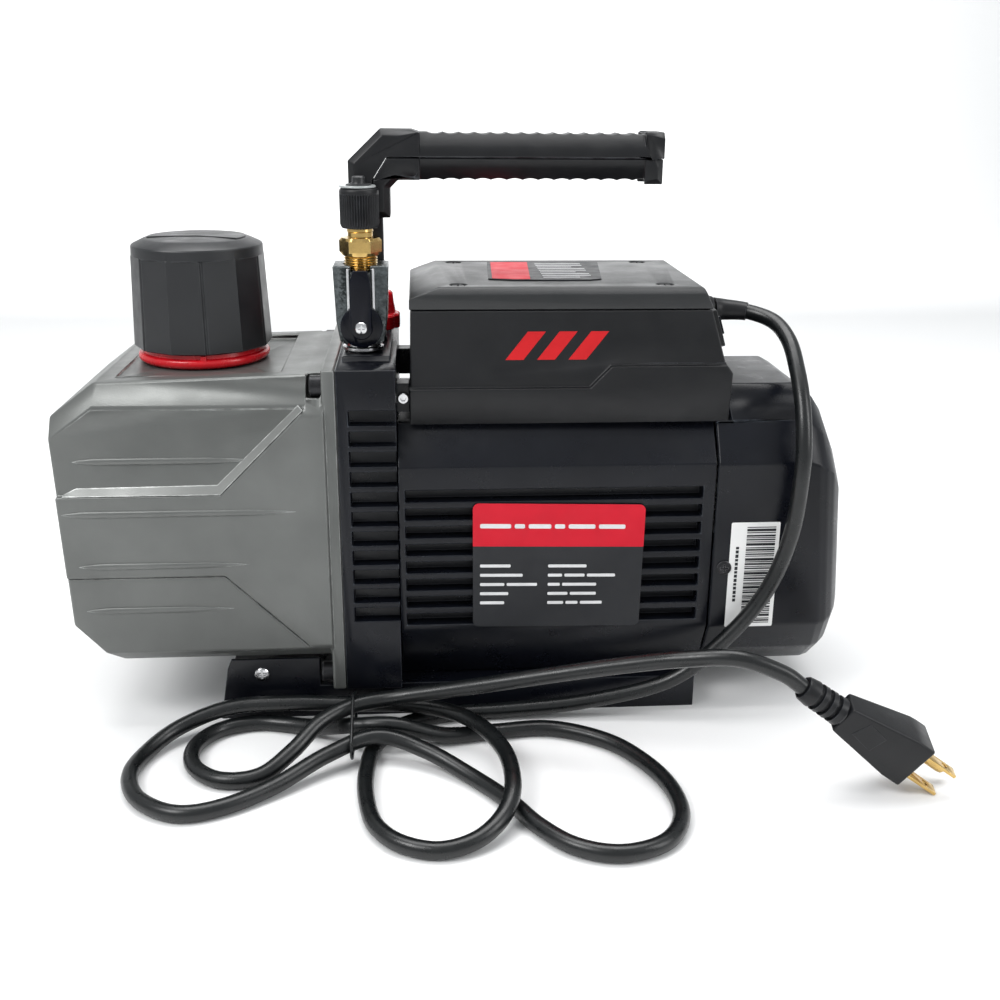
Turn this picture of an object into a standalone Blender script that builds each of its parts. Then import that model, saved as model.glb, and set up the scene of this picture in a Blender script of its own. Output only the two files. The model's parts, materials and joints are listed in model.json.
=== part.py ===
"""Two-stage rotary vane vacuum pump with a shaded electrical box, carry handle and mains lead.

Metres, +Z up. X runs from the oil tank (-X) to the fan cover (+X), the controls face -Y,
and the origin is on the floor under the middle of the pump.
"""
import math

import bmesh
import bpy
from mathutils import Matrix, Vector

GAP = 0.0003                    # clearance between touching pieces
SEGMENTS = 32                   # sides of most round pieces

# overall
TANK_LEFT = -0.1985
COVER_RIGHT = 0.1850
CENTRE_SHIFT = 0.0053  # moves the finished pump so that its box is centred on the origin
SHAFT_Z = 0.0915                # height of the pump and motor axis

# oil tank casting and its mounting flange
TANK_TOP = 0.179
TANK_BOTTOM = 0.035
TANK_HALF = 0.064
TANK_WALL = 0.004
FLANGE_LEFT = -0.0731
FLANGE_RIGHT = -0.0667
FLANGE_TOP = 0.1822
FLANGE_BOTTOM = 0.0185
FLANGE_HALF = 0.0616
BOLT_Y = 0.0545
BOLT_Z = (0.0255, 0.1735)
CAP_X = -0.1352
CAP_SEAT = 0.1755               # floor of the recess round the filler neck
RING_TOP = 0.1800
GLASS_Y = -0.018
GLASS_Z = 0.105
DRAIN_Y = 0.020
DRAIN_Z = 0.066
FITTING_LEFT = -0.1980          # outer face of the sight glass and drain plug

# pump block
BODY_LEFT = -0.0661
BODY_RIGHT = -0.0388
FIN_COUNT = 11
FIN_PITCH = 0.01
FIN_TOP = 0.163
PAD_TOP = 0.1845

# inlet valve stack
VALVE_X = -0.0545
VALVE_Y = -0.026
LEVER_Z = 0.198
LEVER_Y = -0.0375

# gas ballast
BALLAST_X = -0.052
BALLAST_Y = 0.030

# handle
POST_LEFT = -0.0578
POST_RIGHT = -0.0442
GRIP_TOP = 0.2855
GRIP_BOTTOM = 0.2634
GRIP_HALF = 0.0125
GRIP_END = 0.092

# motor
MOTOR_LEFT = -0.0385
MOTOR_RIGHT = 0.1155
MOTOR_HALF = 0.060
MOTOR_TOP = 0.1532
MOTOR_BOTTOM = 0.0183
BORE_RADIUS = 0.0480

# fan cover
COVER_LEFT = 0.1162
COVER_HALF_Z = 0.0760
# X of each section of the rounded end, and its size across, above and below the shaft axis
COVER_STATIONS = [
    (0.1640, 1.00, 1.00, 1.00), (0.1700, 0.995, 0.955, 1.00), (0.1740, 0.975, 0.90, 0.985),
    (0.1780, 0.93, 0.82, 0.94), (0.1810, 0.87, 0.72, 0.86), (0.1832, 0.80, 0.60, 0.76),
    (0.1845, 0.70, 0.45, 0.62), (COVER_RIGHT, 0.55, 0.30, 0.48),
]
COVER_LEAN = 0.07  # the rounded end leans back by this much of the height above the shaft

# electrical box
BOX_LEFT = -0.0325
BOX_BOTTOM = 0.1535
BOX_TOP = 0.2072
BOX_HALF = 0.0495
BOX_BAND_HALF = 0.0522
LID_TOP = 0.2178
WALL = 0.0025

# base channel
BASE_LEFT = -0.1325
BASE_RIGHT = 0.1125
BASE_HALF = 0.0547
BASE_TOP = 0.0177
BASE_SHEET = 0.0020

# mains lead
CORD_RADIUS = 0.0039
PLUG_TIP = Vector((0.2092, -0.1424, 0.0061))
PLUG_AXIS = Vector((0.817, -0.055, -0.574)).normalized()
PLUG_ACROSS = Vector((-0.554, 0.196, -0.809))       # from one flat blade to the other
PLUG_LENGTH = 0.084             # strain relief to blade tips
RELIEF_LENGTH = 0.0217
BLADE_LENGTH = 0.0180
TIE_X = -0.0620

CORD_ROUTE = [
    (0.1223, -0.0040, 0.1995), (0.1285, -0.0042, 0.1995), (0.1408, -0.0080, 0.1987),
    (0.1508, -0.0180, 0.1955), (0.1548, -0.0320, 0.1885), (0.1554, -0.0460, 0.1775),
    (0.1554, -0.0580, 0.1645), (0.1550, -0.0662, 0.1495), (0.1545, -0.0700, 0.1320),
    (0.1518, -0.0698, 0.1000), (0.1420, -0.0685, 0.0700), (0.1220, -0.0680, 0.0430),
    (0.0960, -0.0665, 0.0210), (0.0550, -0.0640, 0.0095), (0.0150, -0.0625, 0.0050),
    (-0.0150, -0.0635, 0.0040), (-0.0380, -0.0725, 0.0040), (-0.0515, -0.0920, 0.0040),
    (-0.0550, -0.1160, 0.0040), (-0.0538, -0.1390, 0.0040), (-0.0490, -0.1580, 0.0040),
    (-0.0380, -0.1710, 0.0040), (-0.0215, -0.1765, 0.0040), (-0.0050, -0.1715, 0.0058),
    (0.0068, -0.1590, 0.0100), (0.0112, -0.1410, 0.0140), (0.0080, -0.1120, 0.0138),
    (-0.0070, -0.0855, 0.0142), (-0.0330, -0.0700, 0.0134), (-0.0625, -0.0660, 0.0126),
    (-0.0940, -0.0655, 0.0140), (-0.1230, -0.0665, 0.0132), (-0.1470, -0.0755, 0.0080),
    (-0.1605, -0.0925, 0.0040), (-0.1635, -0.1120, 0.0040), (-0.1555, -0.1310, 0.0040),
    (-0.1375, -0.1430, 0.0040), (-0.1185, -0.1400, 0.0040), (-0.0960, -0.1260, 0.0052),
    (-0.0730, -0.1085, 0.0100), (-0.0500, -0.0990, 0.0134), (-0.0270, -0.1055, 0.0085),
    (-0.0060, -0.1220, 0.0040), (0.0100, -0.1430, 0.0040), (0.0205, -0.1610, 0.0040),
    (0.0350, -0.1770, 0.0040), (0.0540, -0.1832, 0.0040), (0.0735, -0.1765, 0.0040),
    (0.0840, -0.1590, 0.0040), (0.0842, -0.1370, 0.0040), (0.0765, -0.1150, 0.0040),
    (0.0610, -0.0940, 0.0040), (0.0350, -0.0805, 0.0040), (0.0070, -0.0820, 0.0040),
    (-0.0180, -0.0870, 0.0058), (-0.0420, -0.0890, 0.0134), (-0.0610, -0.0860, 0.0120),
    (-0.0800, -0.0765, 0.0062), (-0.0960, -0.0690, 0.0040), (-0.1120, -0.0665, 0.0040),
    (-0.1290, -0.0728, 0.0040), (-0.1382, -0.0885, 0.0040), (-0.1352, -0.1060, 0.0040),
    (-0.1213, -0.1177, 0.0040), (-0.1035, -0.1170, 0.0052), (-0.0895, -0.1060, 0.0110),
    (-0.0775, -0.0920, 0.0176), (-0.0620, -0.0815, 0.0206), (-0.0430, -0.0790, 0.0226),
    (-0.0220, -0.0840, 0.0280), (0.0060, -0.0930, 0.0365), (0.0400, -0.1040, 0.0470),
    (0.0680, -0.1155, 0.0565), (0.0900, -0.1265, 0.0640), (0.1110, -0.1340, 0.0675),
]


# ---------------------------------------------------------------- helpers

def clear_scene():
    for item in list(bpy.data.objects):
        bpy.data.objects.remove(item, do_unlink=True)


def make_collection(name):
    group = bpy.data.collections.new(name)
    bpy.context.scene.collection.children.link(group)
    return group


def make_material(name, colour, roughness, metallic=0.0):
    material = bpy.data.materials.new(name)
    material.use_nodes = True
    shader = material.node_tree.nodes["Principled BSDF"]
    shader.inputs["Base Color"].default_value = (*colour, 1.0)
    shader.inputs["Roughness"].default_value = roughness
    shader.inputs["Metallic"].default_value = metallic
    return material


def add_object(name, mesh, material, place=None):
    piece = bpy.data.objects.new(name, mesh)
    if place is not None:
        piece.matrix_world = place
    mesh.materials.clear()
    mesh.materials.append(material)
    PARTS.objects.link(piece)
    return piece


def mesh_from_bmesh(name, shape, smooth=False):
    bmesh.ops.recalc_face_normals(shape, faces=shape.faces)
    mesh = bpy.data.meshes.new(name)
    shape.to_mesh(mesh)
    shape.free()
    if smooth:
        mesh.shade_smooth()
        mesh.set_sharp_from_angle(angle=math.radians(40))
    return mesh


def block_bmesh(low, high):
    shape = bmesh.new()
    low, high = Vector(low), Vector(high)
    middle = Matrix.Translation((low + high) / 2)
    bmesh.ops.create_cube(shape, size=1.0, matrix=middle @ Matrix.Diagonal((*(high - low), 1.0)))
    return shape


def shave(shape, point, normal):
    """Cut away what lies beyond a plane and close the cut."""
    everything = shape.verts[:] + shape.edges[:] + shape.faces[:]
    cut = bmesh.ops.bisect_plane(shape, geom=everything, dist=1e-6, plane_co=point, plane_no=normal,
                                 clear_outer=True)
    rim = [item for item in cut["geom_cut"] if isinstance(item, bmesh.types.BMEdge)]
    if rim:
        bmesh.ops.edgeloop_fill(shape, edges=rim)


def block(name, low, high, material):
    return add_object(name, mesh_from_bmesh(name, block_bmesh(low, high)), material)


def along(axis):
    """Rotation that takes local Z to the given world axis."""
    return Vector(axis).to_track_quat("Z", "Y").to_matrix().to_4x4()


def rod(name, centre, axis, radius, length, material, segments=SEGMENTS, top_radius=None):
    shape = bmesh.new()
    end_radius = radius if top_radius is None else top_radius
    bmesh.ops.create_cone(shape, cap_ends=True, segments=segments, radius1=radius, radius2=end_radius,
                          depth=length)
    place = Matrix.Translation(centre) @ along(axis)
    return add_object(name, mesh_from_bmesh(name, shape, smooth=True), material, place)


def turned(name, profile, centre, axis, material, segments=SEGMENTS):
    """Turn a profile of (radius, height) points, outer side top to bottom, about an axis."""
    closed = profile[0] == profile[-1]
    points = profile[:-1] if closed else profile
    mesh = bpy.data.meshes.new(name)
    edges = [(k, k + 1) for k in range(len(points) - 1)]
    if closed:
        edges.append((len(points) - 1, 0))
    mesh.from_pydata([(radius, 0.0, height) for radius, height in points], edges, [])
    piece = add_object(name, mesh, material, Matrix.Translation(centre) @ along(axis))
    screw = piece.modifiers.new("turn", "SCREW")
    screw.steps = segments
    screw.render_steps = segments
    screw.use_merge_vertices = True
    screw.merge_threshold = 0.00005
    screw.use_smooth_shade = True
    return piece


def outline(name, points, thickness, material, place):
    """Extrude a flat outline evenly to both sides of its plane."""
    curve = bpy.data.curves.new(name, "CURVE")
    curve.dimensions = "2D"
    curve.fill_mode = "BOTH"
    curve.extrude = thickness / 2
    spline = curve.splines.new("POLY")
    spline.points.add(len(points) - 1)
    for slot, (across, up) in zip(spline.points, points):
        slot.co = (across, up, 0.0, 1.0)
    spline.use_cyclic_u = True
    return as_mesh(name, curve, material, place)


def as_mesh(name, curve, material, place):
    """Turn a curve into a closed mesh object."""
    guide = bpy.data.objects.new(name + "_curve", curve)
    PARTS.objects.link(guide)
    guide.matrix_world = place
    bpy.context.view_layer.update()
    evaluated = guide.evaluated_get(bpy.context.evaluated_depsgraph_get())
    mesh = bpy.data.meshes.new_from_object(evaluated)
    shape = bmesh.new()
    shape.from_mesh(mesh)
    bmesh.ops.remove_doubles(shape, verts=shape.verts, dist=1e-6)
    bmesh.ops.recalc_face_normals(shape, faces=shape.faces)
    shape.to_mesh(mesh)
    shape.free()
    bpy.data.objects.remove(guide, do_unlink=True)
    return add_object(name, mesh, material, place)


def side_view(y):
    """Plane whose local X, Y are world X, Z, at a given Y."""
    return Matrix.Translation((0.0, y, 0.0)) @ Matrix.Rotation(math.radians(90), 4, "X")


def end_view(x):
    """Plane whose local X, Y are world Y, Z, at a given X."""
    turn = Matrix(((0, 0, 1, 0), (1, 0, 0, 0), (0, 1, 0, 0), (0, 0, 0, 1)))
    return Matrix.Translation((x, 0.0, 0.0)) @ turn


def side_plate(name, points, y_low, y_high, material):
    return outline(name, points, y_high - y_low, material, side_view((y_low + y_high) / 2))


def end_plate(name, points, x_low, x_high, material):
    return outline(name, points, x_high - x_low, material, end_view((x_low + x_high) / 2))


def combine(piece, tool, operation):
    PARTS.objects.unlink(tool)
    CUTTERS.objects.link(tool)
    tool.hide_render = True
    tool.display_type = "WIRE"
    step = piece.modifiers.new(operation.lower(), "BOOLEAN")
    step.operation = operation
    step.solver = "EXACT"
    step.object = tool
    return piece


def cut(piece, tool):
    return combine(piece, tool, "DIFFERENCE")


def join(piece, tool):
    return combine(piece, tool, "UNION")


def mirrored(points):
    """Close an outline given for positive Y by its mirror image."""
    return points + [(-across, up) for across, up in reversed(points)]


# ---------------------------------------------------------------- base

def build_base(steel):
    walls = mirrored([(BASE_HALF, 0.0), (BASE_HALF, BASE_TOP)])
    channel = end_plate("base_plate", walls, BASE_LEFT, BASE_RIGHT, steel)
    inside = BASE_HALF - BASE_SHEET
    cut(channel, block("base_inside", (BASE_LEFT - 0.01, -inside, -0.01),
                       (BASE_RIGHT + 0.01, inside, BASE_TOP - BASE_SHEET), steel))
    for side in (-1, 1):
        outer = side * BASE_HALF
        inner = side * (BASE_HALF - BASE_SHEET)
        ear = [(BASE_LEFT + 0.002, BASE_TOP - 0.001), (BASE_LEFT + 0.0085, 0.0330), (-0.0800, 0.0330),
               (-0.0800, BASE_TOP - 0.001)]
        join(channel, side_plate("base_ear", ear, min(outer, inner), max(outer, inner), steel))
    cut(channel, side_plate("base_slant", [(BASE_LEFT - 0.01, -0.01), (BASE_LEFT, -0.01),
                                           (BASE_LEFT + 0.0085, 0.040), (BASE_LEFT - 0.01, 0.040)],
                            -0.08, 0.08, steel))
    return channel


# ---------------------------------------------------------------- oil tank

def tank_block(name, inset, right, material):
    """Chamfered, slightly tapered tank shape, moved inwards by the inset."""
    shape = block_bmesh((TANK_LEFT + inset, -TANK_HALF + inset, TANK_BOTTOM + inset),
                        (right, TANK_HALF - inset, TANK_TOP - inset))
    planes = [
        ((-0.0731, 0.0, TANK_TOP), (-0.030, 0.0, 1.0)),
        ((TANK_LEFT, 0.0, 0.160), (-0.60, 0.0, 0.80)),
        ((TANK_LEFT, 0.0, 0.160), (-1.0, 0.0, -0.025)),
        ((-0.1955, 0.0, 0.057), (-0.74, 0.0, -0.67)),
    ]
    for side in (-1, 1):
        planes += [
            ((0.0, side * TANK_HALF, 0.1615), (0.0, side * 0.85, 0.53)),
            ((0.0, side * TANK_HALF, 0.0440), (0.0, side * 0.68, -0.73)),
            ((-0.1785, side * 0.053, 0.1760), (-0.387, side * 0.736, 0.555)),
        ]
    for point, normal in planes:
        facing = Vector(normal).normalized()
        shave(shape, Vector(point) - facing * inset, facing)
    return add_object(name, mesh_from_bmesh(name, shape), material)


def build_tank(cast):
    tank = tank_block("oil_tank", 0.0, FLANGE_LEFT + 0.001, cast)
    upper_panel = [(-0.21, 0.1235), (-0.1217, 0.1235), (-0.0815, 0.1640), (-0.0815, 0.1800),
                   (-0.21, 0.1800)]
    lower_panel = [(-0.21, 0.0300), (-0.21, 0.0820), (-0.1220, 0.0820), (-0.0800, 0.0405),
                   (-0.0800, 0.0300)]
    for side in (-1, 1):
        for name, points, depth in (("upper", upper_panel, 0.0025), ("lower", lower_panel, 0.0014)):
            face = side * (TANK_HALF - depth)
            beyond = side * (TANK_HALF + 0.005)
            cut(tank, side_plate(name + "_panel", points, min(face, beyond), max(face, beyond), cast))
    cut(tank, block("cap_recess", (-0.1690, -0.045, CAP_SEAT), (-0.0930, 0.045, 0.19), cast))
    flange = mirrored([(FLANGE_HALF, FLANGE_BOTTOM), (FLANGE_HALF, FLANGE_TOP)])
    join(tank, end_plate("flange", flange, FLANGE_LEFT, FLANGE_RIGHT, cast))
    hollow = tank_block("tank_hollow", TANK_WALL, FLANGE_RIGHT + 0.01, cast)
    for side in (-1, 1):
        for upper in (True, False):
            near, far = sorted((side * 0.0455, side * 0.08))
            low, high = (0.1645, 0.20) if upper else (0.0, 0.0345)
            cut(hollow, block("bolt_boss", (-0.0885, near, low), (-0.0400, far, high), cast))
    cut(tank, hollow)
    for side in (-1, 1):
        for height in BOLT_Z:
            place = (FLANGE_LEFT - 0.0035, side * BOLT_Y, height)
            cut(tank, rod("bolt_pocket", place, (1, 0, 0), 0.0062, 0.007, cast, 20))
            through = (FLANGE_LEFT + 0.0035, side * BOLT_Y, height)
            cut(tank, rod("bolt_hole", through, (1, 0, 0), 0.0033, 0.012, cast, 12))
    cut(tank, rod("neck_hole", (CAP_X, 0, TANK_TOP), (0, 0, 1), 0.0223, 0.04, cast, 40))
    bore_fitting(tank, DRAIN_Y, DRAIN_Z, 0.0100, 0.0033, 0.0061, cast)
    bore_fitting(tank, GLASS_Y, GLASS_Z, 0.0138, 0.0028, 0.0113, cast)
    return tank


def bore_fitting(tank, y, z, wide, depth, narrow, cast):
    """Counterbored hole through the tank's left wall."""
    cut(tank, rod("fitting_hole", (TANK_LEFT, y, z), (1, 0, 0), narrow, 0.03, cast, 24))
    reach = 0.01
    middle = FITTING_LEFT + (depth - reach) / 2
    cut(tank, rod("fitting_seat", (middle, y, z), (1, 0, 0), wide, depth + reach, cast, 24))


def build_tank_fittings(rubber, steel, plastic, red, glass, brass):
    frame = mirrored([(FLANGE_HALF - 0.0003, FLANGE_BOTTOM + 0.0003),
                      (FLANGE_HALF - 0.0003, FLANGE_TOP - 0.0003)])
    gasket = end_plate("tank_gasket", frame, FLANGE_RIGHT + 0.0001, BODY_LEFT - 0.0001, rubber)
    hole = mirrored([(0.0480, 0.0420), (0.0480, 0.1660)])
    cut(gasket, end_plate("gasket_hole", hole, FLANGE_RIGHT - 0.01, BODY_LEFT + 0.01, rubber))
    number = 0
    for side in (-1, 1):
        for height in BOLT_Z:
            number += 1
            cut(gasket, rod("gasket_bolt_hole", (FLANGE_RIGHT, side * BOLT_Y, height), (1, 0, 0), 0.0033,
                            0.01, rubber, 12))
            build_socket_bolt(f"tank_bolt_{number}", side * BOLT_Y, height, steel)
    build_neck(0.1960, plastic)
    ring = [(0.0318, RING_TOP), (0.0318, CAP_SEAT + GAP), (0.0250, CAP_SEAT + GAP), (0.0250, RING_TOP),
            (0.0318, RING_TOP)]
    turned("cap_seal_ring", ring, (CAP_X, 0, 0), (0, 0, 1), red, 40)
    build_oil_cap(plastic)
    plug = [(0.0, 0.0), (0.0095, 0.0), (0.0095, -0.0030), (0.0058, -0.0030), (0.0058, -0.0110),
            (0.0, -0.0110)]
    turned("drain_plug", plug, (FITTING_LEFT, DRAIN_Y, DRAIN_Z), (-1, 0, 0), brass, 24)
    window = [(0.0, 0.0), (0.0135, 0.0), (0.0135, -0.0025), (0.0110, -0.0025), (0.0110, -0.0080),
              (0.0, -0.0080)]
    turned("sight_glass", window, (FITTING_LEFT, GLASS_Y, GLASS_Z), (-1, 0, 0), glass, 24)


def build_socket_bolt(name, y, z, steel):
    """Socket-head screw from the tank flange into the pump block."""
    seat = FLANGE_LEFT - GAP
    bolt = rod(name, (seat - 0.0030, y, z), (1, 0, 0), 0.0052, 0.0060, steel, 20)
    join(bolt, rod(name + "_shank", (seat + 0.0090, y, z), (1, 0, 0), 0.0028, 0.0200, steel, 12))
    cut(bolt, rod(name + "_socket", (seat - 0.0060, y, z), (1, 0, 0), 0.0028, 0.0060, steel, 6))


def build_neck(top, plastic):
    """Threaded filler neck that the cap screws onto."""
    profile = [(0.0240, top), (0.0240, CAP_SEAT + GAP), (0.0220, CAP_SEAT + GAP), (0.0220, 0.1680),
               (0.0195, 0.1680), (0.0195, top), (0.0240, top)]
    turned("filler_neck", profile, (CAP_X, 0, 0), (0, 0, 1), plastic, 40)


def build_oil_cap(plastic):
    """Hollow screw cap with a domed top, open underneath."""
    low = RING_TOP + GAP
    profile = [(0.0, 0.2365), (0.0200, 0.2358), (0.0285, 0.2335), (0.0315, 0.2300), (0.0335, low),
               (0.0252, low), (0.0250, 0.2260), (0.0, 0.2260)]
    turned("oil_fill_cap", [(radius, height - low) for radius, height in profile], (CAP_X, 0, low),
           (0, 0, 1), plastic, 40)


# ---------------------------------------------------------------- pump block and stages

def build_pump_body(paint):
    low = (BODY_LEFT, -FLANGE_HALF, FLANGE_BOTTOM)
    body = block("pump_body", low, (BODY_RIGHT, FLANGE_HALF, FLANGE_TOP), paint)
    pad = mirrored([(0.0430, FLANGE_TOP - 0.002), (0.0430, FLANGE_TOP), (0.0410, PAD_TOP)])
    join(body, end_plate("top_pad", pad, BODY_LEFT + 0.0020, BODY_RIGHT - 0.0025, paint))
    for side in (-1, 1):
        for row in range(FIN_COUNT):
            top = FIN_TOP - row * FIN_PITCH
            outer = side * (FLANGE_HALF + 0.005)
            inner = side * (FLANGE_HALF - 0.007)
            cut(body, block("fin_gap", (BODY_LEFT + 0.005, min(outer, inner), top - 0.0073),
                            (BODY_RIGHT + 0.005, max(outer, inner), top), paint))
        for height in BOLT_Z:
            cut(body, rod("body_bolt_hole", (BODY_LEFT, side * BOLT_Y, height), (1, 0, 0), 0.0031, 0.036,
                          paint, 12))
    cut(body, rod("shaft_hole", (BODY_LEFT, 0, SHAFT_Z), (1, 0, 0), 0.0083, 0.1, paint, 24))
    cut(body, rod("inlet_port", (VALVE_X, VALVE_Y, 0.18), (0, 0, 1), 0.0060, 0.08, paint, 20))
    cut(body, rod("ballast_port", (BALLAST_X, BALLAST_Y, 0.17), (0, 0, 1), 0.0046, 0.06, paint, 16))
    cut(body, block("post_socket", (POST_LEFT - GAP, -0.0063, 0.1700), (POST_RIGHT + GAP, 0.0063, 0.2),
                    paint))
    return body


def build_stage(prefix, right, length, radius, bore, offset, rotor_radius, cast, steel, carbon):
    """One pump stage: an eccentric bore, a rotor on the shaft axis and two sliding vanes."""
    left = right - length
    middle = right - length / 2
    stator = rod(prefix + "_stator", (middle, 0, SHAFT_Z - 0.004), (1, 0, 0), radius, length, cast, 40)
    cut(stator, rod(prefix + "_bore", (middle, 0, SHAFT_Z - offset), (1, 0, 0), bore, length * 2, cast, 40))
    span = length - 2 * GAP
    rotor = rod(prefix + "_rotor", (middle, 0, SHAFT_Z), (1, 0, 0), rotor_radius, span, steel, 32)
    slot_half = 0.0017
    cut(rotor, block(prefix + "_slot_a", (left - 0.01, 0.0095, SHAFT_Z - slot_half),
                     (right + 0.01, 0.04, SHAFT_Z + slot_half), steel))
    cut(rotor, block(prefix + "_slot_b", (left - 0.01, -0.04, SHAFT_Z - slot_half),
                     (right + 0.01, -0.0095, SHAFT_Z + slot_half), steel))
    cut(rotor, rod(prefix + "_shaft_hole", (middle, 0, SHAFT_Z), (1, 0, 0), 0.0075 + GAP, length * 2,
                   steel, 24))
    vane_half = slot_half - GAP
    for letter, side in (("a", -1), ("b", 1)):
        inner = side * (0.0095 + GAP)
        outer = side * (rotor_radius - 0.0002)
        block(f"{prefix}_vane_{letter}", (left + 2 * GAP, min(inner, outer), SHAFT_Z - vane_half),
              (right - 2 * GAP, max(inner, outer), SHAFT_Z + vane_half), carbon)
    return left


def build_stages(cast, steel, carbon):
    first = BODY_LEFT - GAP
    left = build_stage("high_vacuum", first, 0.024, 0.036, 0.0260, 0.0040, 0.0217, cast, steel, carbon)
    plate_left = left - GAP - 0.006
    plate = rod("centre_plate", (left - GAP - 0.003, 0, SHAFT_Z - 0.004), (1, 0, 0), 0.036, 0.006, cast, 40)
    cut(plate, rod("plate_hole", (left, 0, SHAFT_Z), (1, 0, 0), 0.0079, 0.05, cast, 24))
    end = build_stage("low_vacuum", plate_left - GAP, 0.016, 0.034, 0.0240, 0.0040, 0.0197, cast, steel,
                      carbon)
    rod("stage_end_cover", (end - GAP - 0.003, 0, SHAFT_Z - 0.004), (1, 0, 0), 0.034, 0.006, cast, 40)
    seat = SHAFT_Z + 0.0323
    top = SHAFT_Z + 0.0485
    guard = block("exhaust_guard", (end + 0.002, -0.018, seat), (first - 0.004, 0.018, top), cast)
    cut(guard, block("guard_hollow", (end + 0.0035, -0.0165, SHAFT_Z),
                     (first - 0.0055, 0.0165, top - 0.0015), cast))
    return end


# ---------------------------------------------------------------- inlet

def build_inlet(chrome, black, brass, plastic, clear):
    centre = (VALVE_X, VALVE_Y, 0)
    collar = [(0.0100, 0.1900), (0.0100, PAD_TOP + GAP), (0.0052, PAD_TOP + GAP), (0.0052, 0.1900),
              (0.0100, 0.1900)]
    turned("inlet_collar", collar, centre, (0, 0, 1), chrome, 24)
    valve = rod("valve_body", (VALVE_X, VALVE_Y, 0.2066), (0, 0, 1), 0.0098, 0.0326, chrome, 24)
    bulge = rod("valve_waist", (VALVE_X, VALVE_Y, LEVER_Z), (0, 1, 0), 0.0072, 0.0214, chrome, 20)
    join(valve, bulge)
    left_ear = [(-0.0675, 0.2262), (-0.0590, 0.2262), (-0.0605, 0.1950), (-0.0612, 0.1885),
                (-0.0650, 0.1905), (-0.0665, 0.2000)]
    for name, sign in (("left_ear", 1), ("right_ear", -1)):
        points = [(VALVE_X + sign * (across - VALVE_X), up) for across, up in left_ear]
        join(valve, side_plate(name, points, VALVE_Y - 0.0100, VALVE_Y + 0.0100, chrome))
    cut(valve, rod("ball_seat", (VALVE_X, VALVE_Y, LEVER_Z), (0, 0, 1), 0.0050, 0.1, chrome, 20))
    cut(valve, rod("collar_clearance", (VALVE_X, VALVE_Y, 0.1853), (0, 0, 1), 0.0104, 0.0100, chrome, 24))
    cut(valve, rod("thread_seat", (VALVE_X, VALVE_Y, 0.2330), (0, 0, 1), 0.0083, 0.0200, chrome, 24))
    cut(valve, rod("ball_bore", (VALVE_X, VALVE_Y - 0.0040, LEVER_Z), (0, 1, 0), 0.0062, 0.0200, chrome,
                   20))
    cut(valve, rod("stem_hole", (VALVE_X, VALVE_Y - 0.0150, LEVER_Z), (0, 1, 0), 0.0030, 0.0200, chrome,
                   16))
    ball = rod("valve_ball", (VALVE_X, VALVE_Y, LEVER_Z), (0, 1, 0), 0.0058, 0.0110, chrome, 20)
    cut(ball, rod("ball_port", (VALVE_X, VALVE_Y, LEVER_Z), (0, 0, 1), 0.0035, 0.05, chrome, 12))
    build_lever(black)
    fitting = [(0.0060, 0.2425), (0.0060, 0.2380), (0.0080, 0.2375), (0.0080, 0.2300), (0.0080, 0.2233),
               (0.0030, 0.2233), (0.0030, 0.2560), (0.0046, 0.2560), (0.0060, 0.2425)]
    brass_piece = turned("brass_fitting", fitting, centre, (0, 0, 1), brass, 24)
    nut = rod("fitting_hex", (VALVE_X, VALVE_Y, 0.2335), (0, 0, 1), 0.0101, 0.0090, brass, 6)
    cut(nut, rod("hex_bore", (VALVE_X, VALVE_Y, 0.2335), (0, 0, 1), 0.0055, 0.03, brass, 24))
    join(brass_piece, nut)
    cap = [(0.0, 0.2610), (0.0085, 0.2610), (0.0097, 0.2595), (0.0097, 0.2440), (0.0092, 0.2428),
           (0.0064, 0.2428), (0.0064, 0.2575), (0.0, 0.2575)]
    turned("inlet_cap", cap, centre, (0, 0, 1), plastic, 32)
    strap = [(0.0, 0.2665), (0.0030, 0.2665), (0.0030, 0.2621), (0.0084, 0.2621), (0.0084, 0.2613),
             (0.0, 0.2613)]
    turned("cap_strap", strap, centre, (0, 0, 1), clear, 24)


def build_lever(black):
    """Valve lever: a round boss and a straight arm that points up at rest."""
    lever = rod("valve_lever", (VALVE_X, LEVER_Y - 0.0009, LEVER_Z), (0, 1, 0), 0.0100, 0.0018, black, 28)
    arm = [(VALVE_X - 0.0048, LEVER_Z), (VALVE_X - 0.0050, 0.2190), (VALVE_X - 0.0032, 0.2248),
           (VALVE_X + 0.0034, 0.2248), (VALVE_X + 0.0048, 0.2190), (VALVE_X + 0.0048, LEVER_Z)]
    join(lever, side_plate("lever_arm", arm, LEVER_Y - 0.0048, LEVER_Y - 0.0005, black))
    join(lever, rod("lever_end", (VALVE_X, LEVER_Y - 0.00265, LEVER_Z - 0.0006), (0, 1, 0), 0.0050, 0.0043,
                    black, 20))
    stem_length = 0.0067
    stem_place = (VALVE_X, LEVER_Y + stem_length / 2 - 0.0010, LEVER_Z)
    join(lever, rod("valve_stem", stem_place, (0, 1, 0), 0.0026, stem_length, black, 16))


def build_gas_ballast(red):
    knob = [(0.0, 0.2045), (0.0100, 0.2045), (0.0115, 0.2035), (0.0125, 0.1935), (0.0150, 0.1925),
            (0.0150, PAD_TOP + GAP), (0.0042, PAD_TOP + GAP), (0.0042, 0.1700), (0.0, 0.1700)]
    turned("gas_ballast_knob", knob, (BALLAST_X, BALLAST_Y, 0), (0, 0, 1), red, 32)


# ---------------------------------------------------------------- handle

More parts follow.
